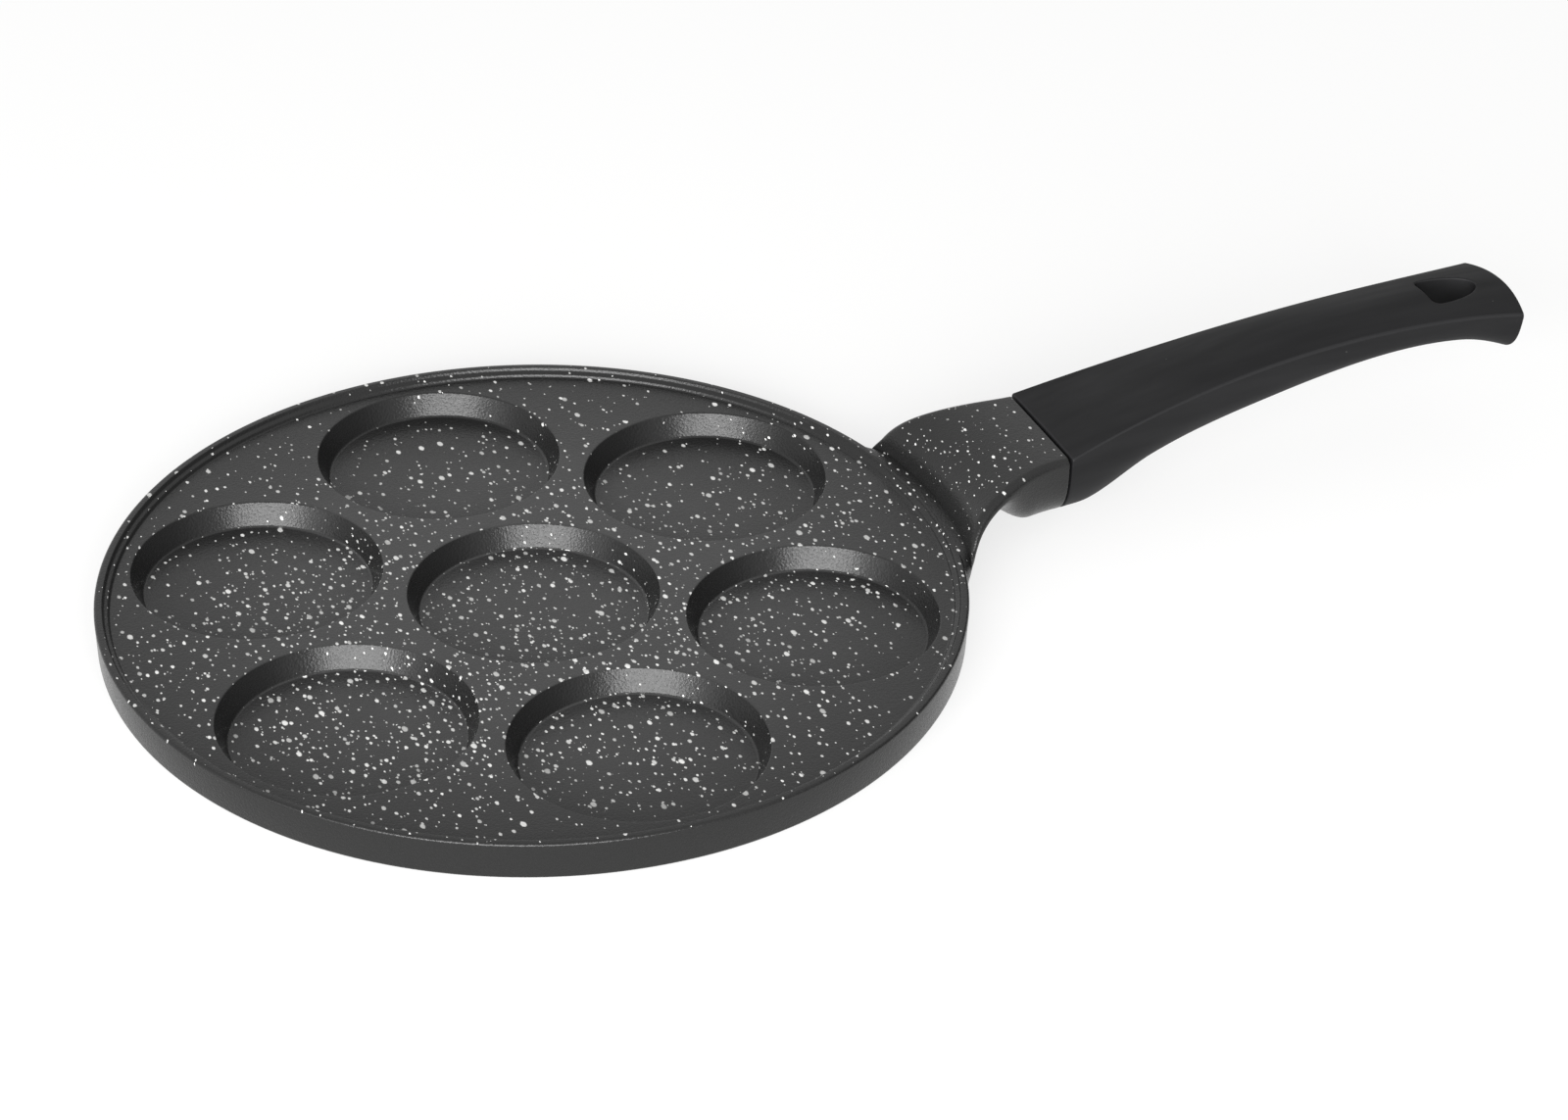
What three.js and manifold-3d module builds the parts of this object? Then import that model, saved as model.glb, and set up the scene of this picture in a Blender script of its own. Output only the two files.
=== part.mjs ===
// A cast pancake pan: a round plate with seven shallow wells, a raised lip and a neck cast in one
// piece, a steel disc let into the base for induction hobs, and a moulded grip held on the neck's
// tang by one screw from below. Millimetres, +Z up, handle along +X, origin at the centre of the base.
import * as THREE from 'three';
import { mergeVertices } from 'three/addons/utils/BufferGeometryUtils.js';
import Module from 'manifold-3d';

const wasm = await Module();
wasm.setup();

// Wells: one in the middle and a ring of six around it
const RING_WELLS = 6;
const WELL_MOUTH_DIAMETER = 75.5;
const WELL_WEB = 8.5;
const WELL_DEPTH = 7;
const WELL_WALL_RUN = 3.4;
const WELL_EDGE_ROUND = 0.6;
const WELL_FLOOR_ROUND = 1;

// Plate, lip and base
const PLATE_MARGIN = 3.65;
const FLOOR_THICKNESS = 2.4;
const LIP_WIDTH = 4.6;
const LIP_RISE = 2.6;
const LIP_STEP_RISE = 1;
const LIP_STEP_WIDTH = 1.2;
const LIP_LEAN_ANGLE = 25;
const LIP_EDGE_ROUND = 0.9;
const WALL_DRAFT = 0.5;
const BASE_EDGE_ROUND = 1;

// Neck, from the outer edge of the lip to the seam with the grip
const NECK_LENGTH = 37.2;
const NECK_TOP = 29.8;
const NECK_DEPTH = 23.6;
const NECK_WIDTH = 42.8;
const NECK_FLARE = 12;
const NECK_FILLET = 4.8;
const NECK_CORNER = 6;
const NECK_LEDGE = 2.4;
const NECK_LEDGE_PROUD = 0.1;
const NECK_RISE_RUN = 32.5;
const NECK_RISE_POWER = 2.5;
const NECK_RISE_EASE = 0.2;
const NECK_ROOT_BOTTOM = 3.5;
const NECK_ARCH_HEIGHT = 12.7;
const NECK_ARCH_AT = 11.3;
const NECK_BELLY_HEIGHT = 6.1;
const NECK_BELLY_AT = 26.2;
const NECK_SHOULDER = 1.6;
const NECK_ROOT_SHOULDER = 12.3;
const SEAM_EDGE_ROUND = 2.2;

// Tang at the end of the neck, and the screw that holds the grip on it
const TANG_WIDTH = 24;
const TANG_THICKNESS = 8.5;
const TANG_LENGTH = 20;
const TANG_DROP = 4.6;
const TANG_ROOT = 3;
const TANG_CORNER_ROUND = 2;
const TANG_CLEARANCE = 0.3;
const SCREW_FROM_SEAM = 10;
const SCREW_DIAMETER = 5;
const SCREW_HEAD_DIAMETER = 9.5;
const SCREW_HEAD_HEIGHT = 3.3;
const SCREW_HEAD_ROUND = 1.5;
const SCREW_TIP_SETBACK = 0.5;
const SCREW_TIP_CHAMFER = 0.8;
const SCREW_SLOT_WIDTH = 1.3;
const SCREW_SLOT_DEPTH = 1.8;
const THREAD_CLEARANCE = 0.15;
const SHANK_CLEARANCE = 0.3;
const WASHER_DIAMETER = 10;
const WASHER_THICKNESS = 1;
const SPRING_WASHER_DIAMETER = 9;
const SPRING_WASHER_THICKNESS = 1.2;
const SPRING_WASHER_SPLIT = 1.2;
const RECESS_CLEARANCE = 0.5;
const SEAT_WALL = 3.2;

// Grip
const SEAM_GAP = 0.7;
const GRIP_PROUD = 0.15;
const GRIP_LENGTH = 163.2;
const GRIP_RISE_ANGLE = 15.4;
const GRIP_BOW_RADIUS = 482;
const GRIP_WAIST_WIDTH = 28.5;
const GRIP_WAIST_AT = 96;
const GRIP_END_WIDTH = 37;
const GRIP_HUMP_DEPTH = 26.3;
const GRIP_HUMP_AT = 10;
const GRIP_THROAT_DEPTH = 20.8;
const GRIP_THROAT_AT = 32;
const GRIP_MID_DEPTH = 16.8;
const GRIP_MID_AT = 70;
const GRIP_THIN_DEPTH = 11.5;
const GRIP_THIN_FROM_END = 22;
const GRIP_END_DEPTH = 16.2;
const GRIP_FRONT_CROWN = 0.3;
const GRIP_END_CROWN = 3;
const GRIP_EDGE_ROUND = 1;
const GRIP_END_ROUND = 2;
const GRIP_END_BOW = 2;
const GRIP_END_LEAN = 2.5;
const HANG_HOLE_LENGTH = 18.6;
const HANG_HOLE_WIDTH = 14.7;
const HANG_HOLE_CORNER = 3;
const HANG_HOLE_FROM_END = 10.7;

// Perforated disc in the base
const DISC_BORDER = 18;
const DISC_THICKNESS = 0.6;
const DISC_CLEARANCE = 0.15;
const DISC_HOLE_DIAMETER = 6;
const DISC_HOLE_RINGS = 4;
const DISC_HOLE_FROM_EDGE = 14.5;

// Sizes that follow from those above
const wellPitch = WELL_MOUTH_DIAMETER + WELL_WEB;
const plateRadius = wellPitch + WELL_MOUTH_DIAMETER / 2 + PLATE_MARGIN;
const panRadius = plateRadius + LIP_WIDTH;
const baseRadius = panRadius - WALL_DRAFT;
const plateHeight = FLOOR_THICKNESS + WELL_DEPTH;
const lipHeight = plateHeight + LIP_RISE;
const discRadius = baseRadius - BASE_EDGE_ROUND - DISC_BORDER;
const neckRoot = 0.7 * LIP_WIDTH;
const seamX = panRadius + NECK_LENGTH;
const gripX = seamX + SEAM_GAP;
const gripTop = NECK_TOP + GRIP_PROUD;
const screwX = gripX + SCREW_FROM_SEAM;
const tangTop = NECK_TOP - TANG_DROP;
const tangBottom = tangTop - TANG_THICKNESS;
const seatHeight = tangBottom - SEAT_WALL;
const springHeight = seatHeight - WASHER_THICKNESS;
const headHeight = springHeight - SPRING_WASHER_THICKNESS;

const { lerp, smoothstep, degToRad } = THREE.MathUtils;

// A geometry as a solid that can be cut and joined
function solid(geometry) {
  const bare = new THREE.BufferGeometry();
  bare.setAttribute('position', geometry.getAttribute('position').clone());
  bare.setIndex(geometry.getIndex());
  const merged = mergeVertices(bare, 1e-5);
  const corners = Array.from(merged.getIndex().array);
  const kept = [];
  for (let i = 0; i < corners.length; i += 3) {
    const [a, b, c] = corners.slice(i, i + 3);
    if (a !== b && b !== c && c !== a) kept.push(a, b, c);
  }
  return new wasm.Manifold(new wasm.Mesh({
    numProp: 3,
    vertProperties: new Float32Array(merged.getAttribute('position').array),
    triVerts: new Uint32Array(kept),
  }));
}

function mesh(name, shape, colour, roughness, metalness) {
  const out = shape.getMesh();
  const geometry = new THREE.BufferGeometry();
  geometry.setAttribute('position', new THREE.BufferAttribute(out.vertProperties, 3));
  geometry.setIndex(new THREE.BufferAttribute(out.triVerts, 1));
  geometry.computeVertexNormals();
  const material = new THREE.MeshStandardMaterial({ color: colour, roughness, metalness });
  const part = new THREE.Mesh(geometry, material);
  part.name = name;
  return part;
}

// Points of a quarter round in the (radius, height) plane
function roundPoints(centreRadius, centreHeight, radius, fromDegrees, toDegrees, steps) {
  return Array.from({ length: steps + 1 }, (_, i) => {
    const angle = degToRad(lerp(fromDegrees, toDegrees, i / steps));
    const across = centreRadius + radius * Math.cos(angle);
    return new THREE.Vector2(across, centreHeight + radius * Math.sin(angle));
  });
}

// A profile in (radius, height) turned about the vertical axis, base first
function turned(profile, segments) {
  return new THREE.LatheGeometry(profile, segments).rotateX(Math.PI / 2);
}

function cylinder(radius, bottom, top, segments) {
  return new THREE.CylinderGeometry(radius, radius, top - bottom, segments)
    .rotateX(Math.PI / 2)
    .translate(0, 0, (bottom + top) / 2);
}

function roundedRectangle(width, height, corner) {
  const right = width / 2;
  const top = height / 2;
  return new THREE.Shape()
    .moveTo(corner - right, -top)
    .lineTo(right - corner, -top)
    .absarc(right - corner, corner - top, corner, -Math.PI / 2, 0)
    .absarc(right - corner, top - corner, corner, 0, Math.PI / 2)
    .absarc(corner - right, top - corner, corner, Math.PI / 2, Math.PI)
    .absarc(corner - right, corner - top, corner, Math.PI, Math.PI * 1.5);
}

function circlePoints(x, y, radius, count) {
  return Array.from({ length: count }, (_, i) => {
    const angle = (i / count) * Math.PI * 2;
    return new THREE.Vector2(x + radius * Math.cos(angle), y + radius * Math.sin(angle));
  });
}

// Rings of points joined into a closed skin, with a fan over each end
function loft(rings) {
  const count = rings[0].length;
  const middle = (ring) => ring.reduce((sum, p) => sum.add(p), new THREE.Vector3()).divideScalar(count);
  const points = [...rings.flat(), middle(rings[0]), middle(rings.at(-1))];
  const firstMiddle = rings.length * count;
  const lastRing = (rings.length - 1) * count;
  const index = [];
  for (let j = 0; j < count; j += 1) {
    const next = (j + 1) % count;
    index.push(firstMiddle, next, j);
    index.push(firstMiddle + 1, lastRing + j, lastRing + next);
    for (let i = 0; i < rings.length - 1; i += 1) {
      const here = i * count;
      const there = here + count;
      index.push(here + j, here + next, there + next);
      index.push(here + j, there + next, there + j);
    }
  }
  return new THREE.BufferGeometry().setFromPoints(points).setIndex(index);
}

// A point of a quarter of a squared oval: power 1 is a straight bevel, 2 an ellipse, more is squarer
function ovalPoint(across, height, width, depth, degrees, power) {
  const outwards = Math.abs(Math.cos(degToRad(degrees))) ** (2 / power);
  const upwards = Math.abs(Math.sin(degToRad(degrees))) ** (2 / power);
  return new THREE.Vector2(across + width * outwards, height + depth * upwards);
}

// One cross-section of the neck or grip as (across, height) points, seen along +X: over the crowned
// top from +Y to -Y with eased shoulders, then back underneath along a squared oval
function crossSection({ width, edge, crown, bottom, shoulder, power }) {
  const half = width / 2;
  const level = edge - shoulder.depth;
  const flatHalf = half - shoulder.width;
  const bulge = (y) => crown * (1 - (y / half) ** 2);
  const mirrored = (points) => points.map((p) => new THREE.Vector2(-p.x, p.y)).reverse();
  const right = [0, 30, 60, 90].map((degrees) => (
    ovalPoint(flatHalf, level, shoulder.width, shoulder.depth, degrees, 2)));
  const flat = [0.6, 0.3, 0, -0.3, -0.6].map((share) => new THREE.Vector2(share * flatHalf, edge));
  const top = [...right, ...flat, ...mirrored(right)].map((p) => new THREE.Vector2(p.x, p.y + bulge(p.x)));
  const underRight = [77, 64, 51, 38, 25, 12].map((degrees) => (
    ovalPoint(0, level, half, bottom - level, degrees, power)));
  return [...top, ...mirrored(underRight), new THREE.Vector2(0, bottom), ...underRight];
}

// Plate with its lip, wall and base, before the wells are sunk. Inside, the lip leans outwards and
// has a small step on its way up.
function panBlank() {
  const wallTop = lipHeight - LIP_EDGE_ROUND;
  const run = Math.tan(degToRad(LIP_LEAN_ANGLE));
  const stepInside = plateRadius + LIP_STEP_RISE * run;
  const stepOutside = stepInside + LIP_STEP_WIDTH;
  const lipInside = stepOutside + (LIP_RISE - LIP_STEP_RISE) * run;
  return solid(turned([
    new THREE.Vector2(0, 0),
    ...roundPoints(baseRadius - BASE_EDGE_ROUND, BASE_EDGE_ROUND, BASE_EDGE_ROUND, -90, 0, 2),
    ...roundPoints(panRadius - LIP_EDGE_ROUND, wallTop, LIP_EDGE_ROUND, 0, 90, 3),
    new THREE.Vector2(lipInside, lipHeight),
    new THREE.Vector2(stepOutside, plateHeight + LIP_STEP_RISE),
    new THREE.Vector2(stepInside, plateHeight + LIP_STEP_RISE),
    new THREE.Vector2(plateRadius, plateHeight),
    new THREE.Vector2(0, plateHeight),
  ], 96));
}

// The space of one well, with the rounded edge of its mouth
function wellSpace() {
  const mouth = WELL_MOUTH_DIAMETER / 2;
  const lean = Math.atan2(WELL_WALL_RUN, WELL_DEPTH) * (180 / Math.PI);
  const floorEdge = mouth - WELL_WALL_RUN - WELL_FLOOR_ROUND * Math.tan(degToRad((90 - lean) / 2));
  const mouthEdge = mouth + WELL_EDGE_ROUND * Math.tan(degToRad((90 - lean) / 2));
  return solid(turned([
    new THREE.Vector2(0, FLOOR_THICKNESS),
    ...roundPoints(floorEdge, FLOOR_THICKNESS + WELL_FLOOR_ROUND, WELL_FLOOR_ROUND, -90, -lean, 2),
    ...roundPoints(mouthEdge, plateHeight - WELL_EDGE_ROUND, WELL_EDGE_ROUND, 180 - lean, 90, 2),
    new THREE.Vector2(mouthEdge, plateHeight + LIP_RISE),
    new THREE.Vector2(0, plateHeight + LIP_RISE),
  ], 40));
}

// Neck, wrapped around the lip at its root and square to the grip at the seam
function neck() {
  const sunk = [-neckRoot, -0.6 * neckRoot, 0, 0.5 * NECK_LEDGE];
  const quarter = Array.from({ length: 15 }, (_, i) => degToRad((90 * i) / 14));
  const free = quarter.map((angle) => lerp(NECK_LENGTH, NECK_LEDGE, Math.cos(angle)));
  const eased = (share) => Math.hypot(share, NECK_RISE_EASE) - NECK_RISE_EASE;
  const rings = [...sunk, ...free].map((along) => {
    const root = smoothstep(along, -neckRoot, -0.6 * neckRoot);
    const left = 1 - Math.max(along, 0) / NECK_LENGTH;
    const rise = THREE.MathUtils.clamp((along - NECK_LEDGE) / NECK_RISE_RUN, 0, 1);
    const ledge = lerp(plateHeight - LIP_RISE / 2, lipHeight + NECK_LEDGE_PROUD, root);
    const oval = (1 - (1 - rise) ** NECK_RISE_POWER) ** (1 / NECK_RISE_POWER);
    const edge = lerp(ledge, NECK_TOP, eased(oval) / eased(1));
    const square = smoothstep(along, NECK_ARCH_AT, NECK_BELLY_AT);
    const arch = lerp(NECK_ROOT_BOTTOM, NECK_ARCH_HEIGHT, smoothstep(along, -neckRoot, NECK_ARCH_AT));
    const ending = smoothstep(along, NECK_BELLY_AT, NECK_LENGTH);
    const belly = lerp(NECK_BELLY_HEIGHT, NECK_TOP - NECK_DEPTH, ending);
    const bottom = lerp(arch, belly, square);
    const shoulder = SEAM_EDGE_ROUND + NECK_SHOULDER * left + NECK_ROOT_SHOULDER * left ** 12;
    const flare = NECK_FLARE * left ** 1.75 + NECK_FILLET * left ** 4.5 + NECK_CORNER * left ** 20;
    const outline = crossSection({
      width: NECK_WIDTH + 2 * flare,
      edge,
      crown: 0,
      bottom,
      shoulder: { width: shoulder, depth: Math.min(shoulder, 0.75 * (edge - bottom)) },
      power: lerp(1.35, 3, square),
    });
    const wrap = 1 - smoothstep(along, 2 * NECK_LEDGE, 0.6 * NECK_LENGTH);
    const sag = (y) => panRadius - Math.sqrt(panRadius ** 2 - y ** 2);
    return outline.map((p) => new THREE.Vector3(panRadius + along - wrap * sag(p.x), p.x, p.y));
  });
  return solid(loft(rings));
}

function tang(margin, overTop) {
  const height = TANG_THICKNESS + overTop;
  const block = new THREE.ExtrudeGeometry(
    roundedRectangle(TANG_WIDTH + 2 * margin, height, TANG_CORNER_ROUND),
    { depth: TANG_ROOT + SEAM_GAP + TANG_LENGTH + margin, bevelEnabled: false, curveSegments: 4 },
  );
  block.rotateZ(Math.PI / 2).rotateY(Math.PI / 2);
  return solid(block.translate(seamX - TANG_ROOT, 0, tangBottom + height / 2));
}

// Grip: chine line bowed upwards, waisted in plan, deep at the front and thin before the end
function gripBody() {
  const thinAt = GRIP_LENGTH - GRIP_THIN_FROM_END;
  const depth = new THREE.CubicInterpolant(
    [0, GRIP_HUMP_AT, GRIP_THROAT_AT, GRIP_MID_AT, thinAt, GRIP_LENGTH],
    [
      NECK_DEPTH + 2 * GRIP_PROUD,
      GRIP_HUMP_DEPTH,
      GRIP_THROAT_DEPTH,
      GRIP_MID_DEPTH,
      GRIP_THIN_DEPTH,
      GRIP_END_DEPTH,
    ],
    1,
  );
  const frontWidth = NECK_WIDTH + 2 * GRIP_PROUD;
  const pastWaist = (along) => (along - GRIP_WAIST_AT) / (GRIP_LENGTH - GRIP_WAIST_AT);
  const widthAt = (along) => (along < GRIP_WAIST_AT
    ? lerp(GRIP_WAIST_WIDTH, frontWidth, (1 - along / GRIP_WAIST_AT) ** 2)
    : lerp(GRIP_WAIST_WIDTH, GRIP_END_WIDTH, pastWaist(along) ** 2.5));
  const rise = degToRad(GRIP_RISE_ANGLE);
  const crest = GRIP_BOW_RADIUS * Math.sin(rise);
  const chineAt = (along) => gripTop - GRIP_BOW_RADIUS * Math.cos(rise)
    + Math.sqrt(GRIP_BOW_RADIUS ** 2 - (along - crest) ** 2);
  const body = Array.from({ length: 27 }, (_, i) => (i / 26) * (GRIP_LENGTH - GRIP_END_ROUND));
  const tip = [20, 42, 64, 90].map((angle) => GRIP_LENGTH - GRIP_END_ROUND * (1 - Math.sin(degToRad(angle))));
  const rings = [...body, ...tip].map((along) => {
    const past = Math.max(along - (GRIP_LENGTH - GRIP_END_ROUND), 0);
    const inset = GRIP_END_ROUND - Math.sqrt(Math.max(GRIP_END_ROUND ** 2 - past ** 2, 0));
    const chine = chineAt(along);
    const outline = crossSection({
      width: widthAt(along) - 2 * inset,
      edge: chine - inset,
      crown: lerp(GRIP_FRONT_CROWN, GRIP_END_CROWN, smoothstep(along, 0, GRIP_WAIST_AT)),
      bottom: chine - depth.evaluate(along)[0] + inset,
      shoulder: { width: GRIP_EDGE_ROUND, depth: GRIP_EDGE_ROUND },
      power: 3,
    });
    const ending = (Math.max(along - thinAt, 0) / GRIP_THIN_FROM_END) ** 2;
    const setback = (p) => ending * (GRIP_END_BOW * ((2 * p.x) / GRIP_END_WIDTH) ** 2
      + GRIP_END_LEAN * ((chine - p.y) / GRIP_END_DEPTH));
    return outline.map((p) => new THREE.Vector3(gripX + along - setback(p), p.x, p.y));
  });
  return solid(loft(rings));
}

// Hang hole: flat towards the pan, rounded towards the end
function hangHole() {
  const half = HANG_HOLE_WIDTH / 2;
  const outline = new THREE.Shape()
    .moveTo(0, HANG_HOLE_CORNER - half)
    .quadraticCurveTo(0, -half, HANG_HOLE_CORNER, -half)
    .absellipse(HANG_HOLE_CORNER, 0, HANG_HOLE_LENGTH - HANG_HOLE_CORNER, half, -Math.PI / 2, Math.PI / 2)
    .quadraticCurveTo(0, half, 0, half - HANG_HOLE_CORNER);
  const cut = new THREE.ExtrudeGeometry(outline, { depth: 200, bevelEnabled: false, curveSegments: 8 });
  return solid(cut.translate(gripX + GRIP_LENGTH - HANG_HOLE_FROM_END - HANG_HOLE_LENGTH, 0, -50));
}

function screw() {
  const head = SCREW_HEAD_DIAMETER / 2;
  const shank = SCREW_DIAMETER / 2;
  const tip = tangTop - SCREW_TIP_SETBACK;
  const bottom = headHeight - SCREW_HEAD_HEIGHT;
  const body = solid(turned([
    new THREE.Vector2(0, bottom),
    ...roundPoints(head - SCREW_HEAD_ROUND, bottom + SCREW_HEAD_ROUND, SCREW_HEAD_ROUND, -90, 0, 3),
    new THREE.Vector2(head, headHeight),
    new THREE.Vector2(shank, headHeight),
    new THREE.Vector2(shank, tip - SCREW_TIP_CHAMFER),
    new THREE.Vector2(shank - SCREW_TIP_CHAMFER, tip),
    new THREE.Vector2(0, tip),
  ], 24));
  const slotLength = SCREW_HEAD_DIAMETER * 0.55;
  const slot = new THREE.BoxGeometry(slotLength, SCREW_SLOT_WIDTH, 2 * SCREW_SLOT_DEPTH);
  const cross = solid(slot).add(solid(slot.clone().rotateZ(Math.PI / 2)));
  return body.subtract(cross.translate(0, 0, bottom)).translate(screwX, 0, 0);
}

function flatWasher() {
  const ring = new THREE.Shape(circlePoints(0, 0, WASHER_DIAMETER / 2, 24));
  ring.holes.push(new THREE.Path(circlePoints(0, 0, SCREW_DIAMETER / 2 + SHANK_CLEARANCE, 24)));
  const plate = new THREE.ExtrudeGeometry(ring, { depth: WASHER_THICKNESS, bevelEnabled: false });
  return solid(plate).translate(screwX, 0, springHeight);
}

function springWasher() {
  const outer = SPRING_WASHER_DIAMETER / 2;
  const inner = SCREW_DIAMETER / 2 + SHANK_CLEARANCE;
  const split = SPRING_WASHER_SPLIT / (outer + inner);
  const ring = new THREE.Shape()
    .absarc(0, 0, outer, split, Math.PI * 2 - split, false)
    .absarc(0, 0, inner, Math.PI * 2 - split, split, true);
  const coil = new THREE.ExtrudeGeometry(ring, {
    depth: SPRING_WASHER_THICKNESS,
    bevelEnabled: false,
    curveSegments: 12,
  });
  return solid(coil).translate(screwX, 0, headHeight);
}

function inductionDisc() {
  const plate = new THREE.Shape(circlePoints(0, 0, discRadius, 96));
  for (let ring = 1; ring <= DISC_HOLE_RINGS; ring += 1) {
    const radius = (discRadius - DISC_HOLE_FROM_EDGE) * (ring / DISC_HOLE_RINGS);
    for (let k = 0; k < 6 * ring; k += 1) {
      const angle = (k / (6 * ring)) * Math.PI * 2;
      const x = radius * Math.cos(angle);
      const y = radius * Math.sin(angle);
      plate.holes.push(new THREE.Path(circlePoints(x, y, DISC_HOLE_DIAMETER / 2, 8)));
    }
  }
  return solid(new THREE.ExtrudeGeometry(plate, { depth: DISC_THICKNESS, bevelEnabled: false }));
}

function panCasting() {
  let casting = panBlank();
  const well = wellSpace();
  casting = casting.add(neck()).subtract(well);
  for (let k = 0; k < RING_WELLS; k += 1) {
    const angle = ((k + 0.5) / RING_WELLS) * Math.PI * 2;
    casting = casting.subtract(well.translate(wellPitch * Math.cos(angle), wellPitch * Math.sin(angle), 0));
  }
  const thread = cylinder(SCREW_DIAMETER / 2 + THREAD_CLEARANCE, tangBottom - 1, tangTop + 1, 24);
  return casting
    .add(tang(0, 0))
    .subtract(solid(thread.translate(screwX, 0, 0)))
    .subtract(solid(cylinder(discRadius + DISC_CLEARANCE, -1, DISC_THICKNESS, 96)));
}

function handleGrip() {
  const shankHole = cylinder(SCREW_DIAMETER / 2 + SHANK_CLEARANCE, seatHeight - 1, tangBottom + 1, 24);
  const headRecess = cylinder(WASHER_DIAMETER / 2 + RECESS_CLEARANCE, seatHeight - 60, seatHeight, 28);
  return gripBody()
    .subtract(tang(TANG_CLEARANCE, TANG_CLEARANCE))
    .subtract(solid(shankHole.translate(screwX, 0, 0)))
    .subtract(solid(headRecess.translate(screwX, 0, 0)))
    .subtract(hangHole());
}

const pan = new THREE.Group();
pan.name = 'pancake_pan';
pan.add(mesh('pan_casting', panCasting(), '#4b4b4d', 0.42, 0.25));
pan.add(mesh('induction_disc', inductionDisc(), '#b4b6b8', 0.35, 1));
pan.add(mesh('handle_grip', handleGrip(), '#303031', 0.65, 0));
pan.add(mesh('handle_screw', screw(), '#c4c6c8', 0.3, 1));
pan.add(mesh('flat_washer', flatWasher(), '#bfc1c3', 0.32, 1));
pan.add(mesh('spring_washer', springWasher(), '#a9abad', 0.36, 1));

export default pan;
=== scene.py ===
# %% [markdown]
# # A cast pancake pan
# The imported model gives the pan's solids, in metres, with the origin at the middle of its base,
# +X along the handle and +Z up. This lesson makes the fine surfaces that the eye sees around those
# solids: the casting with its seven wells, the moulded grip, the steel disc in the base and the
# screw that holds the grip. Each surface is worked out with numpy from the same sizes as the solids.

import bmesh
import bpy
import numpy as np
from mathutils import Matrix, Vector
from mathutils.geometry import delaunay_2d_cdt


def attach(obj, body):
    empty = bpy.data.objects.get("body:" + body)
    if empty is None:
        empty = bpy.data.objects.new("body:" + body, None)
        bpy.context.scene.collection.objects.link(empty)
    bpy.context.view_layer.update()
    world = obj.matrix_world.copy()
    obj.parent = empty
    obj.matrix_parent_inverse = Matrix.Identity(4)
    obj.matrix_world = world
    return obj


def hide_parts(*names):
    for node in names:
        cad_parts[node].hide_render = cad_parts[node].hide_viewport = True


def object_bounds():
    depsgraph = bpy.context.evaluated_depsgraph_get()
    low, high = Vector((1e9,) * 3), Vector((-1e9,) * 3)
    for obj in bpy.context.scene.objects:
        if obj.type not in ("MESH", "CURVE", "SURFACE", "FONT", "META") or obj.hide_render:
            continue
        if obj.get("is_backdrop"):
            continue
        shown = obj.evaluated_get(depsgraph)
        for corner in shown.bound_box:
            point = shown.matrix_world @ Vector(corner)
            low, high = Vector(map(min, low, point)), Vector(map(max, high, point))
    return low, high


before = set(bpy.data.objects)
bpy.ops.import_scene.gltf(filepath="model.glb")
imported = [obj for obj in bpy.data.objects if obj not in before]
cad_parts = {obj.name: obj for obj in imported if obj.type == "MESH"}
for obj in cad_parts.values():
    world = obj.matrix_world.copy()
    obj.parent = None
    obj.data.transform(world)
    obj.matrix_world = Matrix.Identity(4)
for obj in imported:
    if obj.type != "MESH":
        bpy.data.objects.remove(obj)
cad_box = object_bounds()
print("solids:", ", ".join(sorted(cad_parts)))

# %% [markdown]
# ## From points to pieces
# A surface is a grid of points: rows follow one parameter and columns the other. The columns close
# on themselves, so every grid here is a tube. A row whose points all lie together becomes a pole
# when the doubles are merged, and so a tube with a pole at each end is a closed shell. Merging and
# turning the faces outwards is one job for bmesh, so every piece goes through the same function.

# %% Grids and shells
MM = 0.001
MERGE_WITHIN = 0.002
SLIVER_WITHIN = 0.0005
CREASE_ANGLE = 32


def mix(a, b, share):
    """The value that lies that share of the way from a to b."""
    return a + (b - a) * share


def smoothstep(x, low, high):
    """Zero below low, one above high, and 3t^2 - 2t^3 between them."""
    t = np.clip((x - low) / (high - low), 0, 1)
    return t * t * (3 - 2 * t)


def tube_faces(rows, columns, start):
    """Quads between neighbouring rows of a grid that closes around its columns."""
    here = start + np.arange(rows * columns).reshape(rows, columns)
    beside = np.roll(here, -1, axis=1)
    return np.stack([here[:-1], beside[:-1], beside[1:], here[1:]], axis=-1).reshape(-1, 4)


def shell(name, grids):
    """One closed mesh object from several (rows, columns, 3) grids in millimetres."""
    points = np.concatenate([grid.reshape(-1, 3) for grid in grids])
    starts = np.cumsum([0] + [grid.shape[0] * grid.shape[1] for grid in grids])
    faces = [tube_faces(*grid.shape[:2], start) for grid, start in zip(grids, starts)]
    return solid_from(name, points, np.concatenate(faces).tolist())


def solid_from(name, points, faces):
    """A mesh object with its doubles merged and its faces turned outwards."""
    mesh = bpy.data.meshes.new(name)
    mesh.from_pydata((points * MM).tolist(), [], faces)
    work = bmesh.new()
    work.from_mesh(mesh)
    bmesh.ops.remove_doubles(work, verts=work.verts, dist=MERGE_WITHIN * MM)
    bmesh.ops.dissolve_degenerate(work, edges=work.edges, dist=SLIVER_WITHIN * MM)
    bmesh.ops.recalc_face_normals(work, faces=work.faces)
    work.to_mesh(mesh)
    work.free()
    piece = bpy.data.objects.new(name, mesh)
    bpy.context.scene.collection.objects.link(piece)
    return piece


def with_poles(rings):
    """Adds a row at the middle of the first ring and one at the middle of the last."""
    first = np.broadcast_to(rings[0].mean(axis=0), rings[0].shape)
    last = np.broadcast_to(rings[-1].mean(axis=0), rings[-1].shape)
    return np.concatenate([first[None], rings, last[None]])


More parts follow.
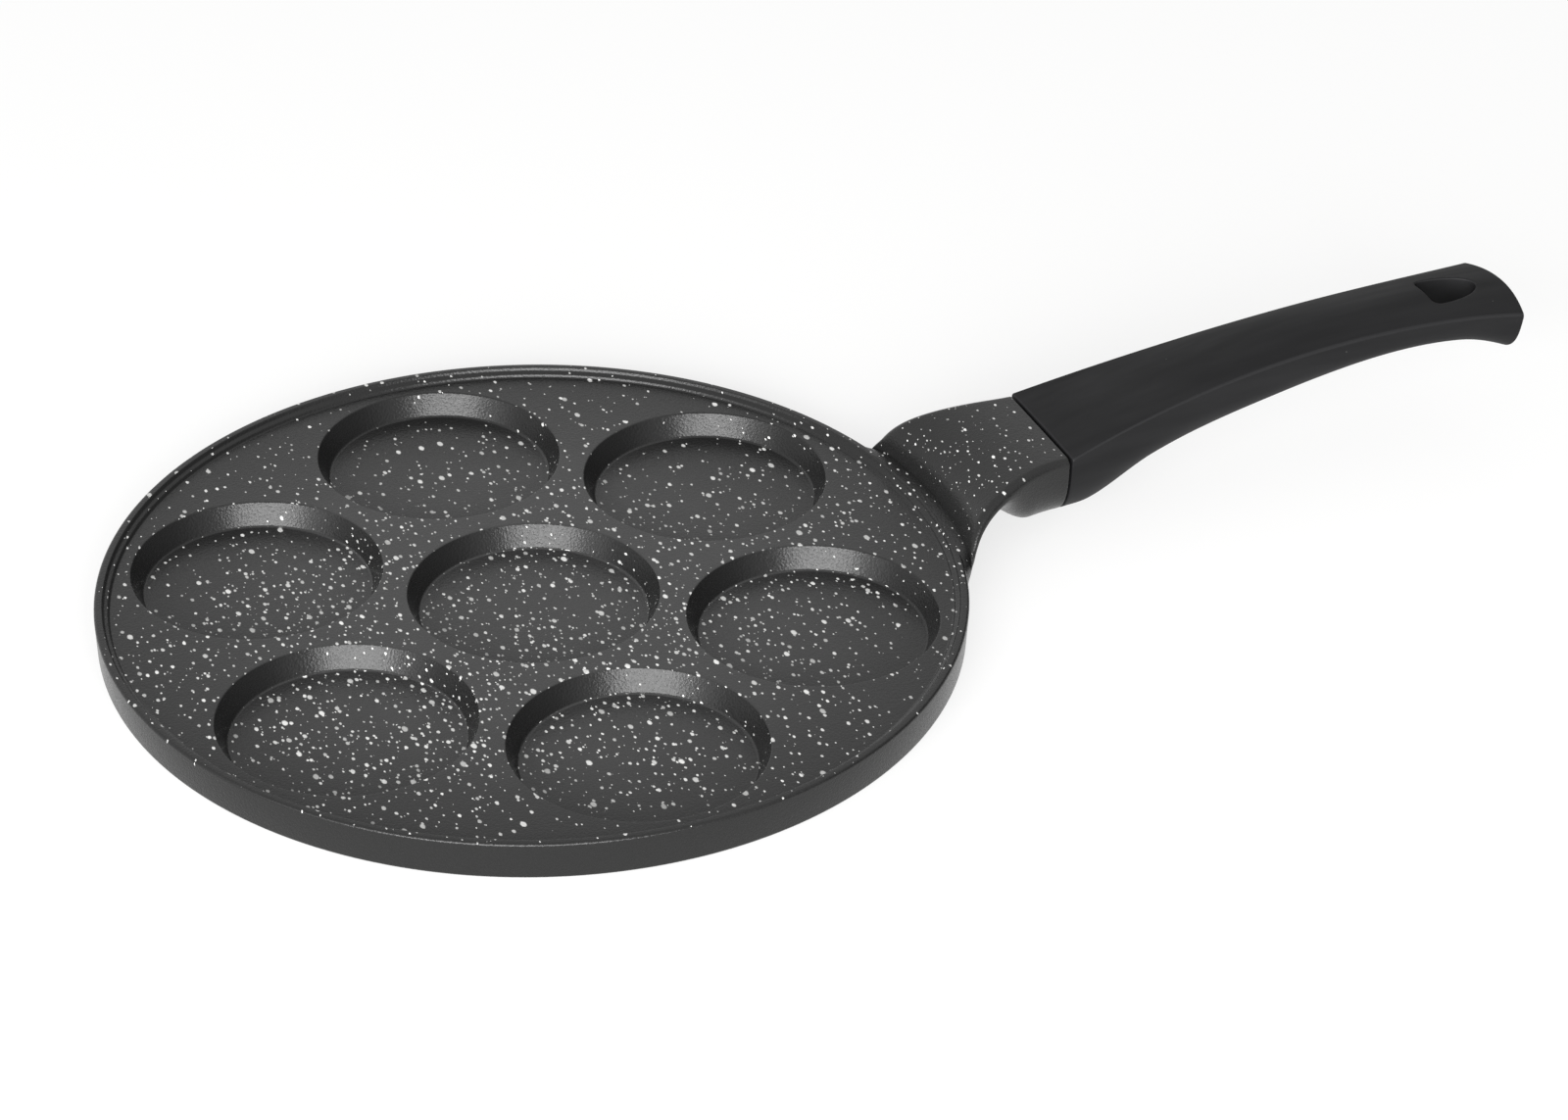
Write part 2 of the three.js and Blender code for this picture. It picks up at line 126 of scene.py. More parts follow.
def combine(piece, tool, operation):
    """Joins the tool to the piece or cuts it away, and removes the tool."""
    change = piece.modifiers.new(operation, "BOOLEAN")
    change.object = tool
    change.operation = operation
    change.solver = "EXACT"
    graph = bpy.context.evaluated_depsgraph_get()
    mesh = bpy.data.meshes.new_from_object(piece.evaluated_get(graph))
    piece.modifiers.clear()
    piece.data = mesh
    bpy.data.objects.remove(tool)


def finish_piece(piece, node, material):
    """Smooth shading with creases past an angle, a material, and the piece's place in the frame."""
    mesh = piece.data
    mesh.polygons.foreach_set("use_smooth", np.ones(len(mesh.polygons), bool))
    mesh.set_sharp_from_angle(angle=np.radians(CREASE_ANGLE))
    mesh.materials.clear()
    mesh.materials.append(material)
    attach(piece, "root")
    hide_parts(node)
    print(f"{piece.name}: {len(mesh.vertices)} points, {len(mesh.polygons)} faces")


# %% [markdown]
# ## Round profiles
# Most edges of a casting are small arcs, so a profile in the (radius, height) plane is a chain of
# arcs, and the straight stretches between them come by themselves. A turned piece carries such a
# profile once around the upright axis.


# %% Arcs and turned pieces
def arc(across, height, radius, start, stop, count):
    """Points of a circular arc between two angles in degrees."""
    angle = np.radians(np.linspace(start, stop, count))
    return np.column_stack([across + radius * np.cos(angle), height + radius * np.sin(angle)])


def eased(corners, radii, steps=7):
    """The chain of corners with each inner one replaced by an arc that touches both its sides.

    The arc's middle lies on the bisector at r / sin(half the corner's angle), and its points turn
    evenly from one touching point to the other.
    """
    corners, r = np.array(corners, float), np.array(radii, float)[:, None]
    back, on = corners[:-2] - corners[1:-1], corners[2:] - corners[1:-1]
    back, on = (side / np.linalg.norm(side, axis=1, keepdims=True) for side in (back, on))
    half = np.arccos((back * on).sum(axis=1, keepdims=True)) / 2
    bisector = (back + on) / np.linalg.norm(back + on, axis=1, keepdims=True)
    middle = bisector * r / np.sin(half)
    first, last = (side * r / np.tan(half) - middle for side in (back, on))
    turn = np.pi - 2 * half
    share = np.linspace(0, 1, steps)[None, :, None]
    weights = (np.sin((1 - share) * turn[:, None]), np.sin(share * turn[:, None]))
    swing = (weights[0] * first[:, None] + weights[1] * last[:, None]) / np.sin(turn)[:, None]
    arcs = (corners[1:-1] + middle)[:, None] + swing
    return np.concatenate([corners[:1], arcs.reshape(-1, 2), corners[-1:]])


def turned(profile, angles, centre=(0, 0)):
    """Rings of points: each profile point (r, z) goes to (r cos a, r sin a, z) about the centre."""
    radius = profile[:, :1]
    height = np.broadcast_to(profile[:, 1:], (len(profile), len(angles)))
    return np.stack(
        [centre[0] + radius * np.cos(angles), centre[1] + radius * np.sin(angles), height], axis=-1
    )


def around(count):
    """Evenly spaced angles once around."""
    return np.arange(count) * 2 * np.pi / count


# %% [markdown]
# ## The plate and its wells
# The top of the casting is a flat plate with one well in the middle and six around it. Seen from
# above, the plate splits into seven cells: a hexagon around the middle well, and around it six
# cells that end at the foot of the lip. In each cell the rings run as circles from the middle of
# the well over its floor, wall and rounded mouth, and then stretch out to the cell's border. Two
# neighbours share the points of their border, so the seven cells merge into one skin.

# %% Sizes of the plate in millimetres
RING_WELLS = 6
WELL_MOUTH = 75.5 / 2
WELL_PITCH = 84
WELL_DEPTH = 7
WELL_WALL_RUN = 3.4
WELL_EDGE_ROUND = 0.6
WELL_FLOOR_ROUND = 1
WELL_REACH = WELL_MOUTH + 1
FLOOR = 2.4
PLATE = FLOOR + WELL_DEPTH
PLATE_RADIUS = 125.4
PAN_RADIUS = 130
LIP = PLATE + 2.6


def well_profile():
    """From the middle of the floor over the fillet and the leaning wall to the mouth's round edge."""
    floor_corner = WELL_MOUTH - WELL_WALL_RUN
    floor = np.column_stack([np.linspace(0, 0.9 * floor_corner, 7), np.full(7, FLOOR)])
    wall = [floor[-1], [floor_corner, FLOOR], [WELL_MOUTH, PLATE], [WELL_REACH, PLATE]]
    return np.concatenate([floor[:-1], eased(wall, [WELL_FLOOR_ROUND, WELL_EDGE_ROUND], 9)])


def polar(radius, degrees):
    """Points (r cos a, r sin a) as rows."""
    angle = np.radians(degrees)
    return np.column_stack([radius * np.cos(angle), radius * np.sin(angle)])


# %% Borders of the cells
HEXAGON_CORNER = WELL_PITCH / 2 / np.cos(np.pi / 6)
PLATE_EDGE = PLATE_RADIUS - 0.6
EDGE_STEPS = 26
SPOKE_STEPS = 42
RIM_STEPS = 64


def straight(start, stop, steps):
    """Evenly spaced points from start up to, but not with, stop."""
    share = np.linspace(0, 1, steps, endpoint=False)[:, None]
    return mix(start, stop, share)


def middle_border():
    """The hexagon halfway between the middle well and its neighbours."""
    corners = polar(np.full(7, HEXAGON_CORNER), np.arange(7) * 60)
    return np.concatenate([straight(a, b, EDGE_STEPS) for a, b in zip(corners[:-1], corners[1:])])


def ring_border(direction):
    """Out along one spoke, along the foot of the lip, in along the next spoke, and back."""
    low, high = direction - 30, direction + 30
    corners = polar(np.array([HEXAGON_CORNER, PLATE_EDGE, PLATE_EDGE, HEXAGON_CORNER]),
                    np.array([low, low, high, high]))
    rim = polar(PLATE_EDGE, np.linspace(low, high, RIM_STEPS, endpoint=False))
    return np.concatenate([
        straight(corners[0], corners[1], SPOKE_STEPS),
        rim,
        straight(corners[2], corners[3], SPOKE_STEPS),
        straight(corners[3], corners[0], EDGE_STEPS),
    ])


def well_cell(centre, border):
    """Circles about the well's middle out to its mouth, then rows that spread to the border."""
    away = border - centre
    rings = turned(well_profile(), np.arctan2(away[:, 1], away[:, 0]), centre)
    edge = np.column_stack([border, np.full(len(border), PLATE)])
    spread = mix(rings[-1][None], edge[None], np.linspace(0, 1, 6)[1:, None, None])
    return np.concatenate([rings, spread])


centres = polar(WELL_PITCH, 30 + np.arange(RING_WELLS) * 60)
plate_grids = [well_cell(np.zeros(2), middle_border())]
plate_grids += [well_cell(c, ring_border(30 + 60 * k)) for k, c in enumerate(centres)]
print("well cells:", [grid.shape[:2] for grid in plate_grids])

# %% [markdown]
# ## The lip, the wall and the base
# From the plate's edge the profile climbs the inner face of the lip, which leans outwards and has a
# small, slightly tilted step on its way up, crosses the top, and drops down the wall, which leans in
# a little towards the base so that the casting leaves its mould. Under the pan it turns in to the
# shallow pocket for the steel disc. The profile is carried around with as many points as the plate's
# edge has, so that the two merge.

# %% Turn the lip, wall and base
LIP_STEP_RISE = 1
LIP_STEP_WIDTH = 1.2
LIP_STEP_SLOPE = 0.5
LIP_RUN = np.tan(np.radians(25))
WALL_DRAFT = 0.5
DISC_RADIUS = 110.5
DISC_THICKNESS = 0.6
DISC_CLEARANCE = 0.15
base_radius = PAN_RADIUS - WALL_DRAFT
pocket_radius = DISC_RADIUS + DISC_CLEARANCE
step_inside = PLATE_RADIUS + LIP_STEP_RISE * LIP_RUN
step_outside = step_inside + LIP_STEP_WIDTH
lip_inside = step_outside + (LIP - PLATE - LIP_STEP_RISE - LIP_STEP_SLOPE) * LIP_RUN
rim_corners = [
    [PLATE_EDGE, PLATE],
    [PLATE_RADIUS, PLATE],
    [step_inside, PLATE + LIP_STEP_RISE],
    [step_outside, PLATE + LIP_STEP_RISE + LIP_STEP_SLOPE],
    [lip_inside, LIP],
    [PAN_RADIUS, LIP],
    [base_radius, 0],
    [pocket_radius, 0],
]
RIM_ROUNDS = [0.6, 0.7, 0.8, 0.45, 0.9, 1]
pocket = [[pocket_radius, DISC_THICKNESS], [pocket_radius / 2, DISC_THICKNESS], [0, DISC_THICKNESS]]
rim_profile = np.concatenate([eased(rim_corners, RIM_ROUNDS), pocket])
rim_grid = turned(rim_profile, around(RING_WELLS * RIM_STEPS))
casting = shell("pan_body", plate_grids + [rim_grid])
print("pan without its neck:", len(casting.data.vertices), "points")

# %% [markdown]
# ## Cross-sections of the neck and the grip
# The neck and the grip are both lofts: one closed outline is carried along the handle while its
# sizes change. The outline has a nearly flat top, a quarter ellipse as shoulder at each side and an
# oval underside. The underside is a superellipse, |y/a|^n + |z/b|^n = 1, because one number n then
# takes it from nearly a straight bevel (1) over an ellipse (2) to a squared oval (3). All sizes are
# columns, one entry for each place along the handle, so numpy works out the whole loft at once.


# %% One outline for every place along the handle
SHOULDER_ANGLES = np.radians(np.linspace(0, 90, 17))
UNDER_ANGLES = np.radians(np.linspace(180, 360, 65)[1:-1])
TOP_SHARES = np.linspace(1, -1, 33)[1:-1]


def power_wave(wave, power):
    """The sign of the wave times its size to the power 2/n, as on a superellipse."""
    return np.sign(wave) * np.abs(wave) ** (2 / power)


def outlines(half, edge, crown, bottom, shoulder_width, shoulder_depth, power):
    """Rows of (across, height) outlines: over the top from +Y to -Y, then back underneath."""
    level = edge - shoulder_depth
    flat_half = half - shoulder_width
    across = flat_half + shoulder_width * np.cos(SHOULDER_ANGLES)
    height = level + shoulder_depth * np.sin(SHOULDER_ANGLES)
    top_across = np.concatenate([across, flat_half * TOP_SHARES, -across[:, ::-1]], axis=1)
    top_flat = np.broadcast_to(edge, (len(edge), len(TOP_SHARES)))
    top_height = np.concatenate([height, top_flat, height[:, ::-1]], axis=1)
    top_height = top_height + crown * (1 - (top_across / half) ** 2)
    under_across = half * power_wave(np.cos(UNDER_ANGLES), power)
    under_height = level + (level - bottom) * power_wave(np.sin(UNDER_ANGLES), power)
    return (np.concatenate([top_across, under_across], axis=1),
            np.concatenate([top_height, under_height], axis=1))


# %% [markdown]
# ## The neck
# The neck is cast in one with the pan. It starts as a ledge level with the lip, climbs steeply and
# then ever less, like a quarter of an oval, and is level at the seam with the grip. An oval starts
# upright, so its start is eased to a slope. Near the pan the neck is wide, with broad shoulders and
# an arched underside; at the seam it is a squared oval with a belly below. Its first rings lie
# inside the lip and wrap around it, and the last ones turn in to a small round at the seam. The
# rings are spaced like the cosine of an even angle, close together on the steep front.

# %% Sizes of the neck in millimetres
NECK_LENGTH = 37.2
NECK_TOP = 29.8
NECK_DEPTH = 23.6
NECK_HALF = 42.8 / 2
NECK_FLARE = 12
NECK_FLARE_POWER = 1.75
NECK_FILLET = 4.8
NECK_FILLET_POWER = 4.5
NECK_CORNER = 6
NECK_CORNER_POWER = 20
NECK_LEDGE = 2.4
NECK_LEDGE_PROUD = 0.1
NECK_RISE_RUN = 32.5
NECK_RISE_POWER = 2.5
NECK_RISE_EASE = 0.2
NECK_ROOT = 0.7 * (PAN_RADIUS - PLATE_RADIUS)
NECK_ROOT_BOTTOM = 3.5
NECK_ARCH = 12.7
NECK_ARCH_AT = 11.3
NECK_BELLY = 6.1
NECK_BELLY_AT = 26.2
NECK_SHOULDER = 1.6
NECK_ROOT_SHOULDER = 12.3
NECK_ROOT_SHOULDER_POWER = 12
ARCH_POWER = 1.35
BELLY_POWER = 3
SEAM_SHOULDER = 2.2
SEAM_ROUND = 0.5
SEAM_X = PAN_RADIUS + NECK_LENGTH


def end_stations(length, radius, count):
    """Places along the last stretch of a round end, closer together towards the end."""
    return length - radius * (1 - np.sin(np.radians(np.linspace(0, 90, count))))


def end_inset(along, length, radius):
    """How far a round end has turned in: r - sqrt(r^2 - p^2), p past the start of the round."""
    past = np.clip(along - (length - radius), 0, radius)
    return radius - np.sqrt(radius**2 - past**2)


def level_start(share):
    """sqrt(s^2 + e^2) - e, which starts level and soon climbs like s itself."""
    return np.hypot(share, NECK_RISE_EASE) - NECK_RISE_EASE


def neck_rings():
    """The outline carried from inside the lip to the seam, wrapped around the lip at its root."""
    sunk = [-NECK_ROOT, -0.6 * NECK_ROOT, -0.3 * NECK_ROOT, 0, 0.5 * NECK_LEDGE]
    free = mix(NECK_LENGTH - SEAM_ROUND, NECK_LEDGE, np.cos(np.radians(np.linspace(0, 90, 80))))[:-1]
    along = np.concatenate([sunk, free, end_stations(NECK_LENGTH, SEAM_ROUND, 6)])[:, None]
    inset = end_inset(along, NECK_LENGTH, SEAM_ROUND)
    left = 1 - np.maximum(along, 0) / NECK_LENGTH
    root = smoothstep(along, -NECK_ROOT, -0.6 * NECK_ROOT)
    rise = np.clip((along - NECK_LEDGE) / NECK_RISE_RUN, 0, 1)
    ledge = mix(PLATE - (LIP - PLATE) / 2, LIP + NECK_LEDGE_PROUD, root)
    oval = (1 - (1 - rise) ** NECK_RISE_POWER) ** (1 / NECK_RISE_POWER)
    edge = mix(ledge, NECK_TOP, level_start(oval) / level_start(1))
    square = smoothstep(along, NECK_ARCH_AT, NECK_BELLY_AT)
    arch = mix(NECK_ROOT_BOTTOM, NECK_ARCH, smoothstep(along, -NECK_ROOT, NECK_ARCH_AT))
    belly = mix(NECK_BELLY, NECK_TOP - NECK_DEPTH, smoothstep(along, NECK_BELLY_AT, NECK_LENGTH))
    bottom = mix(arch, belly, square)
    shoulder = (SEAM_SHOULDER + NECK_SHOULDER * left
                + NECK_ROOT_SHOULDER * left**NECK_ROOT_SHOULDER_POWER)
    flare = (NECK_FLARE * left**NECK_FLARE_POWER + NECK_FILLET * left**NECK_FILLET_POWER
             + NECK_CORNER * left**NECK_CORNER_POWER)
    y, z = outlines(
        half=NECK_HALF + flare - inset,
        edge=edge - inset,
        crown=0,
        bottom=bottom + inset,
        shoulder_width=shoulder,
        shoulder_depth=np.minimum(shoulder, 0.75 * (edge - bottom)),
        power=mix(ARCH_POWER, BELLY_POWER, square),
    )
    wrap = 1 - smoothstep(along, 2 * NECK_LEDGE, 0.6 * NECK_LENGTH)
    sag = PAN_RADIUS - np.sqrt(PAN_RADIUS**2 - y**2)
    return np.stack([PAN_RADIUS + along - wrap * sag, y, z], axis=-1)


neck = shell("neck", [with_poles(neck_rings())])
print("neck:", len(neck.data.vertices), "points")

# %% [markdown]
# ## The tang
# Behind the seam the casting goes on as a flat bar, the tang, which the grip is pushed over. It
# can't be seen once the pan is assembled, but the screw needs it. A rounded rectangle carried
# along +X makes it, and a plain hole stands for the thread.

# %% Bar, hole and one casting
TANG_WIDTH = 24
TANG_THICKNESS = 8.5
TANG_LENGTH = 20
TANG_TOP = NECK_TOP - 4.6
TANG_BOTTOM = TANG_TOP - TANG_THICKNESS
TANG_ROUND = 2
TANG_ROOT = 3
SEAM_GAP = 0.7
GRIP_X = SEAM_X + SEAM_GAP
SCREW_X = GRIP_X + 10
SCREW_RADIUS = 2.5
THREAD_CLEARANCE = 0.15
OVERSHOOT = 1


def bar(name, x_from, x_to, half_width, bottom, top, corner):
    """A rounded rectangle, four quarter arcs, carried straight along +X."""
    centre_y = (half_width - corner) * np.array([1, -1, -1, 1])
    centre_z = np.array([top - corner, top - corner, bottom + corner, bottom + corner])
    quarters = [arc(y, z, corner, 90 * k, 90 * k + 90, 9)
                for k, (y, z) in enumerate(zip(centre_y, centre_z))]
    outline = np.concatenate(quarters)
    x = np.array([x_from, x_to])[:, None]
    rings = np.stack(np.broadcast_arrays(x, *outline.T), axis=-1)
    return shell(name, [with_poles(rings)])


def rod(name, radius, bottom, top):
    """An upright cylinder at the screw's place, closed at both ends."""
    profile = np.array([[0, bottom], [radius, bottom], [radius, top], [0, top]])
    return shell(name, [turned(profile, around(48), (SCREW_X, 0))])


tang = bar("tang", SEAM_X - TANG_ROOT, GRIP_X + TANG_LENGTH, TANG_WIDTH / 2,
           TANG_BOTTOM, TANG_TOP, TANG_ROUND)
thread = rod("thread", SCREW_RADIUS + THREAD_CLEARANCE, TANG_BOTTOM - OVERSHOOT, TANG_TOP + OVERSHOOT)
combine(casting, neck, "UNION")
combine(casting, tang, "UNION")
combine(casting, thread, "DIFFERENCE")
print("casting:", len(casting.data.vertices), "points")

# %% [markdown]
# ## The grip
# The grip is a moulding that starts flush with the neck, bows gently upwards, narrows to a waist
# and widens again around the hang hole. Its depth is set at a few places along it and runs as a
# smooth cubic curve between them. The sides meet the crowned top at a fine edge that runs the
# whole length, and the far end is rounded off.

# %% Sizes of the grip in millimetres
GRIP_PROUD = 0.15
GRIP_LENGTH = 163.2
GRIP_RISE = np.radians(15.4)
GRIP_BOW_RADIUS = 482
GRIP_WAIST_HALF = 28.5 / 2
GRIP_WAIST_AT = 96
GRIP_END_HALF = 37 / 2
GRIP_THIN_AT = GRIP_LENGTH - 22
GRIP_END_DEPTH = 16.2
GRIP_DEPTH_AT = np.array([0, 10, 32, 70, GRIP_THIN_AT, GRIP_LENGTH])
GRIP_DEPTHS = np.array([NECK_DEPTH + 2 * GRIP_PROUD, 26.3, 20.8, 16.8, 11.5, GRIP_END_DEPTH])
GRIP_FRONT_CROWN = 0.3
GRIP_END_CROWN = 3
GRIP_EDGE_ROUND = 1
GRIP_FRONT_ROUND = 0.5
GRIP_END_ROUND = 2
GRIP_END_BOW = 2
GRIP_END_LEAN = 2.5


def cubic(x, places, values):
    """A cubic curve through the values, whose slope at each is the mean of the slopes beside it."""
    chord = np.diff(values) / np.diff(places)
    slope = np.concatenate([chord[:1], (chord[:-1] + chord[1:]) / 2, chord[-1:]])
    i = np.clip(np.searchsorted(places, x, side="right") - 1, 0, len(places) - 2)
    span = places[i + 1] - places[i]
    t = (x - places[i]) / span
    return ((1 + 2 * t) * (1 - t) ** 2 * values[i] + t * (1 - t) ** 2 * span * slope[i]
            + t * t * (3 - 2 * t) * values[i + 1] + t * t * (t - 1) * span * slope[i + 1])


def grip_sizes(along):
    """Half width, height of the side edge, crown of the top and depth at places along the grip."""
    to_waist = np.clip(1 - along / GRIP_WAIST_AT, 0, 1) ** 2
    past_waist = np.clip((along - GRIP_WAIST_AT) / (GRIP_LENGTH - GRIP_WAIST_AT), 0, 1) ** 2.5
    half = (GRIP_WAIST_HALF + (NECK_HALF + GRIP_PROUD - GRIP_WAIST_HALF) * to_waist
            + (GRIP_END_HALF - GRIP_WAIST_HALF) * past_waist)
    crest = GRIP_BOW_RADIUS * np.sin(GRIP_RISE)
    edge = (NECK_TOP + GRIP_PROUD - GRIP_BOW_RADIUS * np.cos(GRIP_RISE)
            + np.sqrt(GRIP_BOW_RADIUS**2 - (along - crest) ** 2))
    crown = mix(GRIP_FRONT_CROWN, GRIP_END_CROWN, smoothstep(along, 0, GRIP_WAIST_AT))
    return half, edge, crown, cubic(along, GRIP_DEPTH_AT, GRIP_DEPTHS)


def grip_rings():
    """The outline carried from the seam to the end, turned in at both and leaning at the end."""
    front = GRIP_FRONT_ROUND - end_stations(GRIP_FRONT_ROUND, GRIP_FRONT_ROUND, 6)[::-1]
    body = np.linspace(GRIP_FRONT_ROUND, GRIP_LENGTH - GRIP_END_ROUND, 150)[1:-1]
    tip = end_stations(GRIP_LENGTH, GRIP_END_ROUND, 12)
    along = np.concatenate([front, body, tip])[:, None]
    inset = (end_inset(along, GRIP_LENGTH, GRIP_END_ROUND)
             + end_inset(GRIP_FRONT_ROUND - along, GRIP_FRONT_ROUND, GRIP_FRONT_ROUND))
    half, edge, crown, depth = grip_sizes(along)
    y, z = outlines(half - inset, edge - inset, crown, edge - depth + inset,
                    GRIP_EDGE_ROUND, GRIP_EDGE_ROUND, BELLY_POWER)
    ending = (np.maximum(along - GRIP_THIN_AT, 0) / (GRIP_LENGTH - GRIP_THIN_AT)) ** 2
    bow = GRIP_END_BOW * (y / GRIP_END_HALF) ** 2
    lean = GRIP_END_LEAN * (edge - z) / GRIP_END_DEPTH
    return np.stack([GRIP_X + along - ending * (bow + lean), y, z], axis=-1)


grip = shell("grip", [with_poles(grip_rings())])
print("grip before its holes:", len(grip.data.vertices), "points")

# %% [markdown]
# ## Holes in the grip
# The hang hole is flat towards the pan and rounded towards the end, and its rim is eased. The tool
# that cuts it is a tube on the hole's outline that flares out like a trumpet where it meets the
# top and the underside, so the cut leaves a round rim. The flare follows the height of the surface
# it cuts, which the grip's own formulas give. The socket for the tang and the recess for the screw
# are plain tools.

# %% Outline of the hang hole
HOLE_LENGTH = 18.6
HOLE_HALF = 14.7 / 2
HOLE_CORNER = 3
HOLE_RIM = 0.6
HOLE_X = GRIP_LENGTH - 10.7 - HOLE_LENGTH


def hole_outline():
    """Half an ellipse towards the end, a straight front edge, and two small quadratic corners."""
    t = np.linspace(0, 1, 10)[:, None]
    corner = ((1 - t) ** 2 * [0, -HOLE_HALF + HOLE_CORNER] + 2 * t * (1 - t) * [0, -HOLE_HALF]
              + t**2 * [HOLE_CORNER, -HOLE_HALF])
    angle = np.radians(np.linspace(-90, 90, 50)[1:-1])
    reach = HOLE_LENGTH - HOLE_CORNER
    end = np.column_stack([HOLE_CORNER + reach * np.cos(angle), HOLE_HALF * np.sin(angle)])
    back = corner[::-1] * [1, -1]
    front = straight(back[-1], corner[0], 12)[1:]
    return np.concatenate([corner, end, back, front])


def grip_skin(along, across):
    """Heights of the grip's top and underside above a place in plan."""
    half, edge, crown, depth = grip_sizes(along)
    share = np.clip(np.abs(across / half), 0, 0.98)
    level = edge - GRIP_EDGE_ROUND
    under = level - (level - edge + depth) * (1 - share**BELLY_POWER) ** (1 / BELLY_POWER)
    return edge + crown * (1 - share**2), under


def hole_tool():
    """The outline pushed outwards near both skins along a quarter arc of the rim's radius."""
    outline = hole_outline()
    tangent = np.roll(outline, -1, axis=0) - np.roll(outline, 1, axis=0)
    outward = np.column_stack([tangent[:, 1], -tangent[:, 0]])
    outward /= np.linalg.norm(tangent, axis=1)[:, None]
    # two rings carry the flare out past the skin before the arc of the rim starts
    beta = np.radians(np.linspace(14, 90, 9))
    push = np.concatenate([[HOLE_RIM * 2.2, HOLE_RIM * 1.25], HOLE_RIM * (1 - np.sin(beta))])
    sink = np.concatenate([[-3, -0.12], HOLE_RIM * (1 - np.cos(beta))])
    plan = outline[None] + push[:, None, None] * outward[None]
    along, across = plan[..., 0] + HOLE_X, plan[..., 1]
    top, under = grip_skin(along, across)
    upper = np.stack([GRIP_X + along, across, top - sink[:, None]], axis=-1)
    lower = np.stack([GRIP_X + along, across, under + sink[:, None]], axis=-1)
    return shell("hole", [with_poles(np.concatenate([upper, lower[::-1]]))])


# %% Cut the holes
TANG_CLEARANCE = 0.3
SHANK_CLEARANCE = 0.3
WASHER_RADIUS = 5
RECESS_CLEARANCE = 0.5
SEAT = TANG_BOTTOM - 3.2
bore = SCREW_RADIUS + SHANK_CLEARANCE
tang_socket = bar("socket", GRIP_X - 5, GRIP_X + TANG_LENGTH + TANG_CLEARANCE,
                  TANG_WIDTH / 2 + TANG_CLEARANCE, TANG_BOTTOM, TANG_TOP + TANG_CLEARANCE, TANG_ROUND)
shank_hole = rod("shank_hole", bore, SEAT - OVERSHOOT, TANG_BOTTOM + OVERSHOOT)
recess = rod("recess", WASHER_RADIUS + RECESS_CLEARANCE, SEAT - 30, SEAT)
for hole in (hole_tool(), tang_socket, shank_hole, recess):
    combine(grip, hole, "DIFFERENCE")
print("grip:", len(grip.data.vertices), "points")

# %% [markdown]
# ## The steel disc
# A disc of steel let into the base makes the pan work on an induction hob. It is stamped with
# rings of holes that the aluminium grips. A flat plate with holes is easiest as a triangulation:
# the outline and the holes are the fixed edges, the triangles inside a hole are dropped, and a
# copy at the other height with walls between the two gives the thickness.

# %% Stamp the disc
DISC_HOLE_RADIUS = 3
DISC_HOLE_RINGS = 4
DISC_HOLE_FROM_EDGE = 14.5


def disc_hole_centres():
    """Six holes in the first ring, twelve in the second, and so on, evenly spaced."""
    step = (DISC_RADIUS - DISC_HOLE_FROM_EDGE) / DISC_HOLE_RINGS
    rings = [polar(step * n, np.arange(6 * n) * 60 / n) for n in range(1, DISC_HOLE_RINGS + 1)]
    return np.concatenate(rings)


def loop_edges(start, count):
    """Pairs of neighbouring points around a closed loop."""
    here = start + np.arange(count)
    return np.column_stack([here, np.roll(here, -1)])


def stamped_disc():
    """Triangles between the outline and the holes, twice, with walls around every loop."""
    holes = disc_hole_centres()
    loops = [polar(DISC_RADIUS, np.degrees(around(240)))]
    loops += [hole + polar(DISC_HOLE_RADIUS, np.degrees(around(32))) for hole in holes]
    starts = np.cumsum([0] + [len(loop) for loop in loops])
    edges = np.concatenate([loop_edges(s, len(loop)) for s, loop in zip(starts, loops)])
    flat = np.concatenate(loops)
    made = delaunay_2d_cdt(flat.tolist(), edges.tolist(), [], 1, 1e-6)
    plan = np.array([tuple(point) for point in made[0]])
    triangles = np.array(made[2])
    middle = plan[triangles].mean(axis=1)
    gap = np.linalg.norm(middle[:, None] - holes[None], axis=2).min(axis=1)
    triangles = triangles[gap > DISC_HOLE_RADIUS]
    sides = np.sort(triangles[:, [[0, 1], [1, 2], [2, 0]]].reshape(-1, 2), axis=1)
    pairs, uses = np.unique(sides, axis=0, return_counts=True)
    walls = pairs[uses == 1]
    count = len(plan)
    low = np.column_stack([plan, np.zeros(count)])
    high = np.column_stack([plan, np.full(count, DISC_THICKNESS)])
    faces = triangles.tolist() + (triangles + count).tolist()
    faces += np.column_stack([walls, walls[:, ::-1] + count]).tolist()
    return solid_from("steel_disc", np.concatenate([low, high]), faces)


disc = stamped_disc()
print("disc:", len(disc.data.vertices), "points,", len(disc_hole_centres()), "holes")

# %% [markdown]
# ## Screw and washers
# One screw from below holds the grip on the tang, with a flat and a spring washer under its head.
# They sit deep in the recess, so only a look from underneath shows them. Screw and flat washer are
# turned profiles. The spring washer is a ring with a gap, so its rectangular profile is carried
# around only from one side of the gap to the other.

# %% Turn the screw and the washers
WASHER_THICKNESS = 1
SPRING_RADIUS = 4.5
SPRING_THICKNESS = 1.2
SPRING_SPLIT = 1.2
HEAD_RADIUS = 4.75
HEAD_HEIGHT = 3.3
HEAD_ROUND = 1.5
SLOT_LENGTH = 0.55 * 2 * HEAD_RADIUS
SLOT_WIDTH = 1.3
SLOT_DEPTH = 1.8
TIP_SETBACK = 0.5
TIP_CHAMFER = 0.8
BURR = 0.12
spring_seat = SEAT - WASHER_THICKNESS
head_seat = spring_seat - SPRING_THICKNESS
head_bottom = head_seat - HEAD_HEIGHT


